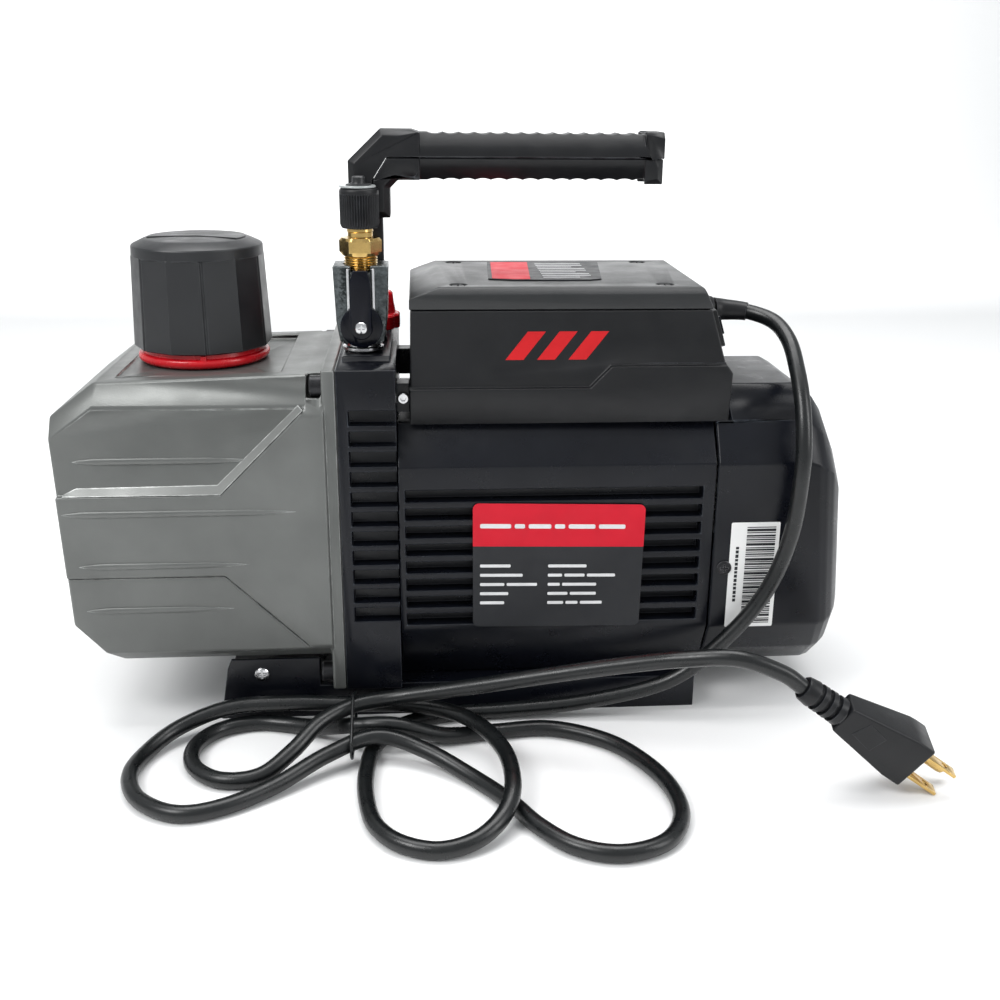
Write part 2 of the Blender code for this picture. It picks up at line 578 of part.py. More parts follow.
def build_handle(plastic, steel):
    block("handle_post", (POST_LEFT, -0.0060, 0.1703), (POST_RIGHT, 0.0060, 0.2620), steel)
    leg_bottom = 0.2457
    seam = 0.2739
    outer = [(-0.0602, leg_bottom), (-0.0602, 0.2723), (-0.0448, 0.2869), (-0.0298, 0.2867),
             (-0.0262, GRIP_TOP), (0.0830, GRIP_TOP), (0.0830, 0.2862), (GRIP_END, 0.2862),
             (GRIP_END, seam), (-0.0418, seam), (-0.0487, 0.2634), (-0.0487, leg_bottom)]
    lower_seam = seam - GAP
    inner = [(-0.0484, leg_bottom), (-0.0484, 0.2633), (-0.0416, lower_seam), (GRIP_END, lower_seam),
             (GRIP_END, 0.2618), (0.0830, 0.2618), (0.0830, GRIP_BOTTOM), (-0.0364, GRIP_BOTTOM),
             (-0.0404, 0.2595), (-0.0404, leg_bottom)]
    for name, points in (("handle_grip_upper", outer), ("handle_grip_lower", inner)):
        shell = side_plate(name, points, -GRIP_HALF, GRIP_HALF, plastic)
        for side in (-1, 1):
            for height, tilt in ((GRIP_TOP, 1), (GRIP_BOTTOM, -1)):
                edge = [(side * (GRIP_HALF + 0.004), height + tilt * 0.003),
                        (side * (GRIP_HALF - 0.0062), height + tilt * 0.003),
                        (side * (GRIP_HALF - 0.0062), height),
                        (side * (GRIP_HALF - 0.0016), height - tilt * 0.0058),
                        (side * (GRIP_HALF + 0.004), height - tilt * 0.0058 - tilt * 0.0166)]
                cut(shell, end_plate(name + "_facet", edge, -0.0260, 0.0828, plastic))
        cut(shell, block(name + "_pocket", (POST_LEFT - GAP, -0.0063, 0.2),
                         (POST_RIGHT + GAP, 0.0063, 0.2623), plastic))


# ---------------------------------------------------------------- motor

def motor_outline(half, low, high):
    upper = SHAFT_Z + 0.043
    lower = SHAFT_Z - 0.043
    return mirrored([(0.0440, low), (half, lower), (half, upper), (0.0470, high)])


def build_motor(paint, steel, copper, dark_steel, label):
    housing = end_plate("motor_housing", motor_outline(MOTOR_HALF, MOTOR_BOTTOM, MOTOR_TOP), MOTOR_LEFT,
                        MOTOR_RIGHT, paint)
    for side in (-1, 1):
        for row in range(8):
            low = SHAFT_Z - 0.0390 + row * 0.0092
            outer = side * (MOTOR_HALF + 0.005)
            inner = side * (MOTOR_HALF - 0.0075)
            cut(housing, block("motor_fin_gap", (MOTOR_LEFT + 0.0030, min(outer, inner), low),
                               (MOTOR_RIGHT - 0.0060, max(outer, inner), low + 0.0060), paint))
    front_wall = MOTOR_LEFT + 0.006
    cut(housing, rod("motor_bore", ((front_wall + MOTOR_RIGHT + 0.02) / 2, 0, SHAFT_Z), (1, 0, 0),
                     BORE_RADIUS, MOTOR_RIGHT + 0.02 - front_wall, paint, 48))
    cut(housing, rod("bearing_seat", (MOTOR_LEFT, 0, SHAFT_Z), (1, 0, 0), 0.0163, 0.04, paint, 32))
    cut(housing, rod("wire_hole", (0.0, 0, MOTOR_TOP), (0, 0, 1), 0.0060, 0.04, paint, 16))
    plate = [(-0.0030, 0.0514), (0.0805, 0.0500), (0.0813, 0.1145), (-0.0030, 0.1165)]
    side_plate("nameplate", plate, -MOTOR_HALF - 0.0011, -MOTOR_HALF - GAP, label)
    ring = [(0.0476, 0.070), (0.0476, 0.0), (0.0285, 0.0), (0.0285, 0.070), (0.0476, 0.070)]
    turned("stator_core", ring, (0.0050, 0, SHAFT_Z), (1, 0, 0), steel, 40)
    for name, start in (("winding_front", -0.0140), ("winding_rear", 0.0753)):
        coil = [(0.0430, 0.0187), (0.0450, 0.0160), (0.0450, 0.0), (0.0300, 0.0), (0.0300, 0.0160),
                (0.0320, 0.0187), (0.0430, 0.0187)]
        turned(name, coil, (start, 0, SHAFT_Z), (1, 0, 0), copper, 32)
    rotor = rod("motor_rotor", (0.0400, 0, SHAFT_Z), (1, 0, 0), 0.0280, 0.0680, dark_steel, 32)
    cut(rotor, rod("rotor_hole", (0.0400, 0, SHAFT_Z), (1, 0, 0), 0.0078, 0.2, dark_steel, 24))


def build_shaft_line(end, steel, cast, plastic):
    left = end + 0.0010
    right = 0.1580
    rod("drive_shaft", ((left + right) / 2, 0, SHAFT_Z), (1, 0, 0), 0.0075, right - left, steel, 24)
    race = [(0.0160, 0.0100), (0.0160, 0.0), (0.0078, 0.0), (0.0078, 0.0100), (0.0160, 0.0100)]
    turned("bearing_front", race, (MOTOR_LEFT + 0.0005, 0, SHAFT_Z), (1, 0, 0), steel, 32)
    turned("bearing_rear", race, (0.1055, 0, SHAFT_Z), (1, 0, 0), steel, 32)
    shield = [(0.0476, 0.0080), (0.0476, 0.0), (0.0163, 0.0), (0.0163, 0.0080), (0.0476, 0.0080)]
    turned("rear_end_shield", shield, (0.1065, 0, SHAFT_Z), (1, 0, 0), cast, 40)
    hub = rod("cooling_fan", (0.1420, 0, SHAFT_Z), (1, 0, 0), 0.0150, 0.0220, plastic, 24)
    for blade in range(7):
        turn = Matrix.Rotation(math.radians(360 / 7 * blade), 4, "X")
        vane = block_bmesh((0.1315, -0.0011, 0.0130), (0.1525, 0.0011, 0.0520))
        bmesh.ops.transform(vane, matrix=Matrix.Translation((0, 0, SHAFT_Z)) @ turn, verts=vane.verts)
        join(hub, add_object("fan_blade", mesh_from_bmesh("fan_blade", vane), plastic))
    cut(hub, rod("fan_hole", (0.1420, 0, SHAFT_Z), (1, 0, 0), 0.0078, 0.05, plastic, 24))


def cover_points(grow):
    """Half outline of the fan cover about the shaft axis, offset outwards."""
    half = 0.0612 + grow
    tall = COVER_HALF_Z + grow
    return [(0.0320, -tall), (0.0500 + grow * 0.7, -0.0610 - grow * 0.7), (half, -0.0430), (half, 0.0430),
            (0.0500 + grow * 0.7, 0.0610 + grow * 0.7), (0.0320, tall)]


def cover_block(name, grow, left, shift, material):
    """Faceted tube whose closed end rounds over through the stations."""
    shape = bmesh.new()
    rings = []
    for x, sideways, above, below in [(left, 1.0, 1.0, 1.0)] + COVER_STATIONS:
        ring = []
        for across, up in mirrored(cover_points(grow)):
            scale = above if up > 0 else below
            lean = -COVER_LEAN * up * scale if x > left else 0.0
            ring.append(shape.verts.new((x + shift + lean, across * sideways, SHAFT_Z + up * scale)))
        rings.append(ring)
    for near, far in zip(rings, rings[1:]):
        for k in range(len(near)):
            after = (k + 1) % len(near)
            shape.faces.new((near[k], near[after], far[after], far[k]))
    shape.faces.new(rings[0])
    shape.faces.new(rings[-1])
    return add_object(name, mesh_from_bmesh(name, shape), material)


def build_fan_cover(paint):
    cover = cover_block("fan_cover", 0.0, COVER_LEFT, 0.0, paint)
    cut(cover, cover_block("cover_hollow", -0.0022, COVER_LEFT - 0.01, -0.0022, paint))
    cut(cover, block("box_clearance", (COVER_LEFT - 0.01, -BOX_BAND_HALF - 0.001, BOX_BOTTOM - 0.0006),
                     (0.1236, BOX_BAND_HALF + 0.001, 0.2), paint))
    for row in range(7):
        height = SHAFT_Z + (row - 3) * 0.0105
        width = math.sqrt(0.042 ** 2 - (height - SHAFT_Z) ** 2)
        for side in (-1, 1):
            near = side * 0.0030
            far = side * width
            cut(cover, block("cover_slot", (COVER_RIGHT - 0.035, min(near, far), height - 0.0024),
                             (COVER_RIGHT + 0.01, max(near, far), height + 0.0024), paint))
    return cover


# ---------------------------------------------------------------- electrical box

def box_end(height):
    """X of the sloping right end of the box at a height."""
    return 0.1190 - (height - 0.182) * 0.31


def build_box(plastic, capacitor_grey):
    low, high = BOX_BOTTOM, BOX_TOP
    side = [(BOX_LEFT, low), (0.1217, low), (0.1225, 0.1770), (box_end(0.182), 0.182),
            (box_end(high), high), (BOX_LEFT + 0.001, high)]
    box = side_plate("box_body", side, -BOX_HALF, BOX_HALF, plastic)
    band = [(BOX_LEFT, low), (0.1217, low), (0.1225, 0.1770), (0.1195, 0.1810), (0.0636, 0.1810),
            (0.0536, 0.1706), (BOX_LEFT, 0.1706)]
    join(box, side_plate("box_band", band, -BOX_BAND_HALF, BOX_BAND_HALF, plastic))
    hollow = [(BOX_LEFT + WALL, low + WALL), (0.1190, low + WALL), (0.1195, 0.1770),
              (box_end(0.182) - WALL - 0.0005, 0.182), (box_end(high + 0.01) - WALL - 0.0005, high + 0.01),
              (BOX_LEFT + WALL + 0.001, high + 0.01)]
    cut(box, side_plate("box_hollow", hollow, -BOX_HALF + WALL, BOX_HALF - WALL, plastic))
    cut(box, rod("box_wire_hole", (0.0, 0, low), (0, 0, 1), 0.0060, 0.02, plastic, 16))
    cut(box, rod("gland_hole", (0.115, -0.004, 0.1995), (1, 0, 0), 0.0053, 0.04, plastic, 20))
    cut(box, block("switch_hole", (0.105, -0.0395, 0.1892), (0.13, -0.0185, 0.2032), plastic))

    lid_side = [(BOX_LEFT + 0.0005, high + GAP), (box_end(high) + 0.0010, high + GAP),
                (0.1075, LID_TOP - 0.0008), (0.1060, LID_TOP), (-0.0184, LID_TOP),
                (BOX_LEFT + 0.0005, 0.2125)]
    lid = side_plate("box_lid", lid_side, -BOX_HALF + 0.0008, BOX_HALF - 0.0008, plastic)
    for sign in (-1, 1):
        edge = [(sign * 0.0460, LID_TOP + 0.0010), (sign * 0.0460, LID_TOP), (sign * 0.0490, 0.2140),
                (sign * 0.0540, 0.2140), (sign * 0.0540, LID_TOP + 0.0010)]
        cut(lid, end_plate("lid_edge", edge, -0.06, 0.13, plastic))
    for x in (-0.0088, 0.0900):
        for y in (-0.0379, 0.0379):
            cut(lid, rod("lid_screw_seat", (x, y, LID_TOP), (0, 0, 1), 0.0042, 0.0030, plastic, 16))
    rod("run_capacitor", (0.0350, 0.0150, 0.1740), (1, 0, 0), 0.0160, 0.0700, capacitor_grey, 24)
    build_switch(plastic)
    gland_x = box_end(0.1995)
    gland = [(0.0, 0.1218), (0.0056, 0.1218), (0.0072, gland_x + 0.0060), (0.0076, gland_x + 0.0030),
             (0.0050, gland_x + 0.0030), (0.0050, gland_x - 0.0090), (0.0, gland_x - 0.0090)]
    turned("cord_gland", gland, (0, -0.004, 0.1995), (1, 0, 0), plastic, 24)


def build_switch(black):
    """Rocker switch in a bezel on the sloping end of the box."""
    tilt = math.atan(0.31)
    centre = Vector((box_end(0.1962), -0.0290, 0.1962))
    place = Matrix.Translation(centre) @ Matrix.Rotation(-tilt, 4, "Y")
    rim = block_bmesh((0.0004, -0.0125, -0.0092), (0.0034, 0.0125, 0.0092))
    bezel = add_object("switch_bezel", mesh_from_bmesh("switch_bezel", rim), black, place)
    sleeve = block_bmesh((-0.0060, -0.0100, -0.0064), (0.0010, 0.0100, 0.0064))
    join(bezel, add_object("bezel_sleeve", mesh_from_bmesh("bezel_sleeve", sleeve), black, place))
    window = block_bmesh((-0.0050, -0.0086, -0.0050), (0.0100, 0.0086, 0.0050))
    cut(bezel, add_object("bezel_window", mesh_from_bmesh("bezel_window", window), black, place))
    points = [(-0.0078, 0.0052), (-0.0078, 0.0012), (0.0, -0.0028), (0.0078, 0.0012), (0.0078, 0.0026),
              (0.0, 0.0038)]
    turn = Matrix(((0, 1, 0, 0), (1, 0, 0, 0), (0, 0, -1, 0), (0, 0, 0, 1)))
    outline("rocker_switch", points, 0.0090, black, place @ turn)


# ---------------------------------------------------------------- mains lead

def build_cord(rubber, plastic, steel):
    relief_start = PLUG_TIP - PLUG_AXIS * PLUG_LENGTH
    last = relief_start - PLUG_AXIS * GAP
    route = CORD_ROUTE + [last - PLUG_AXIS * 0.012, last]
    curve = bpy.data.curves.new("power_cord", "CURVE")
    curve.dimensions = "3D"
    curve.bevel_depth = CORD_RADIUS
    curve.bevel_resolution = 2
    curve.use_fill_caps = True
    spline = curve.splines.new("POLY")
    spline.points.add(len(route) - 1)
    for slot, point in zip(spline.points, route):
        slot.co = (*point, 1.0)
    cord = bpy.data.objects.new("power_cord", curve)
    curve.materials.append(rubber)
    PARTS.objects.link(cord)

    relief = [(0.0, RELIEF_LENGTH), (0.0066, RELIEF_LENGTH), (0.0066, 0.0150), (0.0058, 0.0040),
              (0.0052, 0.0), (0.0, 0.0)]
    turned("plug_strain_relief", relief, relief_start, PLUG_AXIS, plastic, 20)
    build_plug(relief_start, plastic, steel)
    build_tie(rubber)


def build_plug(relief_start, plastic, steel):
    """Grounded plug: local X across the flat blades, Y towards the ground pin, Z to the tips."""
    across = (PLUG_ACROSS - PLUG_AXIS * PLUG_ACROSS.dot(PLUG_AXIS)).normalized()
    turn = Matrix((across, PLUG_AXIS.cross(across), PLUG_AXIS)).transposed().to_4x4()
    place = Matrix.Translation(relief_start) @ turn
    face = PLUG_LENGTH - BLADE_LENGTH
    shape = block_bmesh((-0.0120, -0.0058, RELIEF_LENGTH + GAP), (0.0120, 0.0152, face))
    for side in (-1, 1):
        shave(shape, Vector((side * 0.0120, 0, 0.0560)), Vector((side, 0, -0.14)).normalized())
    shave(shape, Vector((0, 0.0152, 0.0600)), Vector((0, 1, -0.20)).normalized())
    add_object("plug_body", mesh_from_bmesh("plug_body", shape), plastic, place)
    blade_width = 0.0063
    for letter, side in (("a", -1), ("b", 1)):
        low = (side * 0.00635 - 0.00075, -blade_width / 2, face + GAP)
        high = (side * 0.00635 + 0.00075, blade_width / 2, PLUG_LENGTH)
        mesh = mesh_from_bmesh("blade", block_bmesh(low, high))
        blade = add_object(f"plug_blade_{letter}", mesh, steel, place)
        hole_centre = place @ Vector((side * 0.00635, 0, face + 0.0117))
        cut(blade, rod("blade_hole", hole_centre, across, 0.0016, 0.006, steel, 12))
    pin_length = 0.0210
    rod("plug_ground_pin", place @ Vector((0, 0.0110, face + GAP + pin_length / 2)), PLUG_AXIS, 0.0024,
        pin_length, steel, 12)


def build_tie(plastic):
    """Twist tie: one closed wire loop round the bundled runs of cord."""
    loop = [(-0.1092, 0.0118), (-0.1086, 0.0089), (-0.1066, 0.0068), (-0.1038, 0.0060),
            (-0.0845, 0.0055), (-0.0661, 0.0072), (-0.0634, 0.0080), (-0.0613, 0.0101),
            (-0.0606, 0.0127), (-0.0613, 0.0155), (-0.0634, 0.0177), (-0.0800, 0.0254),
            (-0.0830, 0.0261), (-0.0860, 0.0252), (-0.1064, 0.0166), (-0.1085, 0.0146)]
    curve = bpy.data.curves.new("cable_tie", "CURVE")
    curve.dimensions = "3D"
    curve.bevel_depth = 0.0007
    curve.bevel_resolution = 1
    spline = curve.splines.new("POLY")
    spline.points.add(len(loop) - 1)
    for slot, (y, z) in zip(spline.points, loop):
        slot.co = (TIE_X, y, z, 1.0)
    spline.use_cyclic_u = True
    curve.materials.append(plastic)
    PARTS.objects.link(bpy.data.objects.new("cable_tie", curve))


# ---------------------------------------------------------------- whole pump

def build():
    cast = make_material("tank_grey", (0.115, 0.120, 0.115), 0.45, 0.6)
    black_paint = make_material("black_paint", (0.012, 0.013, 0.015), 0.45)
    black_plastic = make_material("black_plastic", (0.018, 0.019, 0.021), 0.5)
    rubber = make_material("rubber", (0.020, 0.021, 0.023), 0.6)
    steel = make_material("steel", (0.55, 0.55, 0.56), 0.3, 1.0)
    dark_steel = make_material("dark_steel", (0.08, 0.08, 0.085), 0.4, 0.8)
    chrome = make_material("nickel", (0.45, 0.46, 0.46), 0.3, 1.0)
    brass = make_material("brass", (0.62, 0.44, 0.17), 0.3, 1.0)
    copper = make_material("copper", (0.60, 0.24, 0.10), 0.4, 0.8)
    red = make_material("red_plastic", (0.65, 0.012, 0.02), 0.4)
    clear = make_material("clear_plastic", (0.55, 0.57, 0.57), 0.3)
    glass = make_material("glass", (0.75, 0.72, 0.55), 0.05)
    carbon = make_material("carbon", (0.05, 0.05, 0.055), 0.6)
    grey = make_material("capacitor_grey", (0.55, 0.56, 0.58), 0.4)
    label = make_material("label", (0.35, 0.02, 0.03), 0.5)

    build_base(black_paint)
    build_tank(cast)
    build_tank_fittings(rubber, dark_steel, black_plastic, red, glass, brass)
    build_pump_body(black_paint)
    end = build_stages(cast, steel, carbon)
    build_inlet(chrome, black_plastic, brass, black_plastic, clear)
    build_gas_ballast(red)
    build_handle(black_plastic, dark_steel)
    build_motor(black_paint, steel, copper, dark_steel, label)
    build_shaft_line(end, steel, cast, black_plastic)
    build_fan_cover(black_paint)
    build_box(black_plastic, grey)
    build_cord(rubber, black_plastic, brass)


clear_scene()
PARTS = make_collection("rotary_vane_vacuum_pump")
CUTTERS = make_collection("cutters")
build()
for part in [*PARTS.objects, *CUTTERS.objects]:
    part.location.x += CENTRE_SHIFT
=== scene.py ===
"""Looks of the two-stage rotary vane vacuum pump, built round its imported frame.

Metres, +Z up, in the frame's own coordinates. Pieces that keep their CAD outline start from a
copy of the node's mesh, which is then bevelled and carved; turned, ribbed and flexible pieces
are built from profiles and routes.
"""
import json
import math

import bmesh
import bpy
from mathutils import Matrix, Vector


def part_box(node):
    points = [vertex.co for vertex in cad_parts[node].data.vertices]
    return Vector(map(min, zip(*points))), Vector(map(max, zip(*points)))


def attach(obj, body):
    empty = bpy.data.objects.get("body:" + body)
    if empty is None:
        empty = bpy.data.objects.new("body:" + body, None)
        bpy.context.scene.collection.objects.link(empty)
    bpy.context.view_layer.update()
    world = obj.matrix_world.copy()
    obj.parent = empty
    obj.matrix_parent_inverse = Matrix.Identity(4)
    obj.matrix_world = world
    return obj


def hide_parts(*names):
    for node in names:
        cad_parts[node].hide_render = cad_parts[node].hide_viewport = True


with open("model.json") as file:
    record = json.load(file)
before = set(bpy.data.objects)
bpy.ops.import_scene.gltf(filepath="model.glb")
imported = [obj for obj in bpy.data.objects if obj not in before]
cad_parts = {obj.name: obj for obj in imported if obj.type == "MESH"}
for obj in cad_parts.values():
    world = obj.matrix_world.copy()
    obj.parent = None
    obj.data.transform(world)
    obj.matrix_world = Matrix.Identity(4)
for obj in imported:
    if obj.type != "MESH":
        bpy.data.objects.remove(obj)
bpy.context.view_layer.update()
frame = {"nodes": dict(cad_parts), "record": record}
NODES = frame["nodes"]

CENTRE_SHIFT = 0.0053  # part.py moves the finished pump this far along X
CORD_RADIUS = 0.0039
PLUG_TIP = Vector((0.2092 + CENTRE_SHIFT, -0.1424, 0.0061))
PLUG_AXIS = Vector((0.817, -0.055, -0.574)).normalized()
PLUG_ACROSS = Vector((-0.554, 0.196, -0.809))
PLUG_LENGTH = 0.084
RELIEF_LENGTH = 0.0217
BLADE_LENGTH = 0.0180
SIDES = (("front", -1), ("rear", 1))
move = Matrix.Translation
UPRIGHT = Matrix.Rotation(math.radians(90), 4, "X")  # stands a flat outline up, facing the front

CORD_ROUTE = [
    (0.1223, -0.0040, 0.1995), (0.1285, -0.0042, 0.1995), (0.1408, -0.0080, 0.1987),
    (0.1508, -0.0180, 0.1955), (0.1548, -0.0320, 0.1885), (0.1554, -0.0460, 0.1775),
    (0.1554, -0.0580, 0.1645), (0.1550, -0.0662, 0.1495), (0.1545, -0.0700, 0.1320),
    (0.1518, -0.0698, 0.1000), (0.1420, -0.0685, 0.0700), (0.1220, -0.0680, 0.0430),
    (0.0960, -0.0665, 0.0210), (0.0550, -0.0640, 0.0095), (0.0150, -0.0625, 0.0050),
    (-0.0150, -0.0635, 0.0040), (-0.0380, -0.0725, 0.0040), (-0.0515, -0.0920, 0.0040),
    (-0.0550, -0.1160, 0.0040), (-0.0538, -0.1390, 0.0040), (-0.0490, -0.1580, 0.0040),
    (-0.0380, -0.1710, 0.0040), (-0.0215, -0.1765, 0.0040), (-0.0050, -0.1715, 0.0058),
    (0.0068, -0.1590, 0.0100), (0.0112, -0.1410, 0.0140), (0.0080, -0.1120, 0.0138),
    (-0.0070, -0.0855, 0.0142), (-0.0330, -0.0700, 0.0134), (-0.0625, -0.0660, 0.0126),
    (-0.0940, -0.0655, 0.0140), (-0.1230, -0.0665, 0.0132), (-0.1470, -0.0755, 0.0080),
    (-0.1605, -0.0925, 0.0040), (-0.1635, -0.1120, 0.0040), (-0.1555, -0.1310, 0.0040),
    (-0.1375, -0.1430, 0.0040), (-0.1185, -0.1400, 0.0040), (-0.0960, -0.1260, 0.0052),
    (-0.0730, -0.1085, 0.0100), (-0.0500, -0.0990, 0.0134), (-0.0270, -0.1055, 0.0085),
    (-0.0060, -0.1220, 0.0040), (0.0100, -0.1430, 0.0040), (0.0205, -0.1610, 0.0040),
    (0.0350, -0.1770, 0.0040), (0.0540, -0.1832, 0.0040), (0.0735, -0.1765, 0.0040),
    (0.0840, -0.1590, 0.0040), (0.0842, -0.1370, 0.0040), (0.0765, -0.1150, 0.0040),
    (0.0610, -0.0940, 0.0040), (0.0350, -0.0805, 0.0040), (0.0070, -0.0820, 0.0040),
    (-0.0180, -0.0870, 0.0058), (-0.0420, -0.0890, 0.0134), (-0.0610, -0.0860, 0.0120),
    (-0.0800, -0.0765, 0.0062), (-0.0960, -0.0690, 0.0040), (-0.1120, -0.0665, 0.0040),
    (-0.1290, -0.0728, 0.0040), (-0.1382, -0.0885, 0.0040), (-0.1352, -0.1060, 0.0040),
    (-0.1213, -0.1177, 0.0040), (-0.1035, -0.1170, 0.0052), (-0.0895, -0.1060, 0.0110),
    (-0.0775, -0.0920, 0.0176), (-0.0620, -0.0815, 0.0206), (-0.0430, -0.0790, 0.0226),
    (-0.0220, -0.0840, 0.0280), (0.0060, -0.0930, 0.0365), (0.0400, -0.1040, 0.0470),
    (0.0680, -0.1155, 0.0565), (0.0900, -0.1265, 0.0640), (0.1110, -0.1340, 0.0675),
]


def at(x):
    """X of the pump as drawn, moved to where part.py puts it."""
    return x + CENTRE_SHIFT


def add(item):
    bpy.context.scene.collection.objects.link(item)


# ---------------------------------------------------------------- camera, floor and lights

def aim_camera():
    """Low three-quarter view of the front, slightly rolled."""
    yaw, pitch, roll = (math.radians(a) for a in (4.417, 18.773, 0.538))
    forward = Vector((math.sin(yaw) * math.cos(pitch), math.cos(yaw) * math.cos(pitch), -math.sin(pitch)))
    level = Vector((math.cos(yaw), -math.sin(yaw), 0))
    above = level.cross(forward)
    right = level * math.cos(roll) + above * math.sin(roll)
    up = above * math.cos(roll) - level * math.sin(roll)
    data = bpy.data.cameras.new("camera")
    data.lens = 42.2
    data.sensor_width = 36.0
    data.shift_x = -0.0082
    data.shift_y = -0.0103
    data.clip_start = 0.01
    camera = bpy.data.objects.new("camera", data)
    turn = Matrix((right, up, -forward)).transposed().to_4x4()
    camera.matrix_world = move((at(-0.0270), -0.5920, 0.3042)) @ turn
    add(camera)
    bpy.context.scene.camera = camera


def lay_floor():
    """Pale paper sweep: flat under the pump, curving up well behind it."""
    reach, bend, radius, tall = 5.0, 1.9, 0.8, 3.2
    line = [(-reach, 0.0), (bend, 0.0)]
    for step in range(1, 13):
        angle = math.radians(90 * step / 12)
        line.append((bend + radius * math.sin(angle), radius * (1 - math.cos(angle))))
    line.append((bend + radius, tall))
    corners = [(side * reach, y, z) for y, z in line for side in (-1, 1)]
    faces = [(k, k + 1, k + 3, k + 2) for k in range(0, len(corners) - 2, 2)]
    mesh = bpy.data.meshes.new("floor")
    mesh.from_pydata(corners, [], faces)
    mesh.shade_smooth()
    floor = bpy.data.objects.new("floor", mesh)
    add(floor)
    material = bpy.data.materials.new("floor_paper")
    material.use_nodes = True
    shader = material.node_tree.nodes["Principled BSDF"]
    shader.inputs["Base Color"].default_value = (0.90, 0.90, 0.90, 1)
    shader.inputs["Roughness"].default_value = 0.9
    shader.inputs["Specular IOR Level"].default_value = 0.1
    mesh.materials.append(material)


def area_light(name, place, target, size, power):
    data = bpy.data.lights.new(name, "AREA")
    data.shape = "RECTANGLE"
    data.size, data.size_y = size
    data.energy = power
    light = bpy.data.objects.new(name, data)
    direction = Vector(target) - Vector(place)
    light.matrix_world = move(place) @ direction.to_track_quat("-Z", "Y").to_matrix().to_4x4()
    add(light)


def set_lights():
    """Even white surroundings with soft boxes above, left and right."""
    bpy.context.scene.view_settings.view_transform = "Standard"
    world = bpy.data.worlds.new("studio")
    bpy.context.scene.world = world
    world.use_nodes = True
    world.node_tree.nodes["Background"].inputs["Color"].default_value = (0.95, 0.98, 1, 1)
    world.node_tree.nodes["Background"].inputs["Strength"].default_value = 0.62
    middle = (0, 0, 0.12)
    area_light("overhead", (0.0, 0.15, 1.30), middle, (1.2, 0.7), 13)
    area_light("key", (-0.75, -0.60, 1.05), middle, (0.6, 0.5), 9)
    area_light("fill", (1.1, -0.6, 0.75), middle, (0.4, 0.8), 5)
    area_light("back", (0.0, 1.3, 0.9), (0, 2.4, 0.6), (1.8, 0.6), 22)


# ---------------------------------------------------------------- materials

def node(tree, kind, **values):
    item = tree.nodes.new(kind)
    for key, value in values.items():
        name = key.replace("_", " ")
        if name in item.inputs:
            item.inputs[name].default_value = value
        else:
            setattr(item, key, value)
    return item


def scaled_noise(tree, place, size, detail=3.0, stretch=(1, 1, 1)):
    """Noise whose features are about size metres across."""
    mapping = node(tree, "ShaderNodeMapping")
    mapping.inputs["Scale"].default_value = tuple(s / size for s in stretch)
    tree.links.new(place.outputs["Object"], mapping.inputs["Vector"])
    noise = node(tree, "ShaderNodeTexNoise", Scale=1.0, Detail=detail, Roughness=0.55)
    tree.links.new(mapping.outputs["Vector"], noise.inputs["Vector"])
    return noise.outputs["Fac"]


def spread(tree, value, low, high, start=0.3, end=0.7):
    item = node(tree, "ShaderNodeMapRange")
    item.inputs["From Min"].default_value = start
    item.inputs["From Max"].default_value = end
    item.inputs["To Min"].default_value = low
    item.inputs["To Max"].default_value = high
    tree.links.new(value, item.inputs["Value"])
    return item.outputs["Result"]


def edge_mask(tree, place, width):
    """White where the surface turns sharply, broken up so that the lighter edges look patchy; it places edge wear and
    a painted edge highlight.
    """
    rounded = node(tree, "ShaderNodeBevel", samples=4, Radius=width)
    plain = node(tree, "ShaderNodeNewGeometry")
    dot = node(tree, "ShaderNodeVectorMath", operation="DOT_PRODUCT")
    tree.links.new(rounded.outputs["Normal"], dot.inputs[0])
    tree.links.new(plain.outputs["Normal"], dot.inputs[1])
    edge = spread(tree, dot.outputs["Value"], 1.0, 0.0, 0.90, 0.995)
    broken = spread(tree, scaled_noise(tree, place, 0.006, 4), 0.15, 1.0, 0.35, 0.65)
    both = node(tree, "ShaderNodeMath", operation="MULTIPLY")
    tree.links.new(edge, both.inputs[0])
    tree.links.new(broken, both.inputs[1])
    return both.outputs["Value"]


def mixed(tree, factor, first, second):
    """Mix two colours, each a tuple or a socket, by a socket."""
    item = node(tree, "ShaderNodeMix", data_type="RGBA")
    tree.links.new(factor, item.inputs[0])
    for socket, value in ((item.inputs[6], first), (item.inputs[7], second)):
        if isinstance(value, tuple):
            socket.default_value = (*value, 1.0)
        else:
            tree.links.new(value, socket)
    return item.outputs[2]


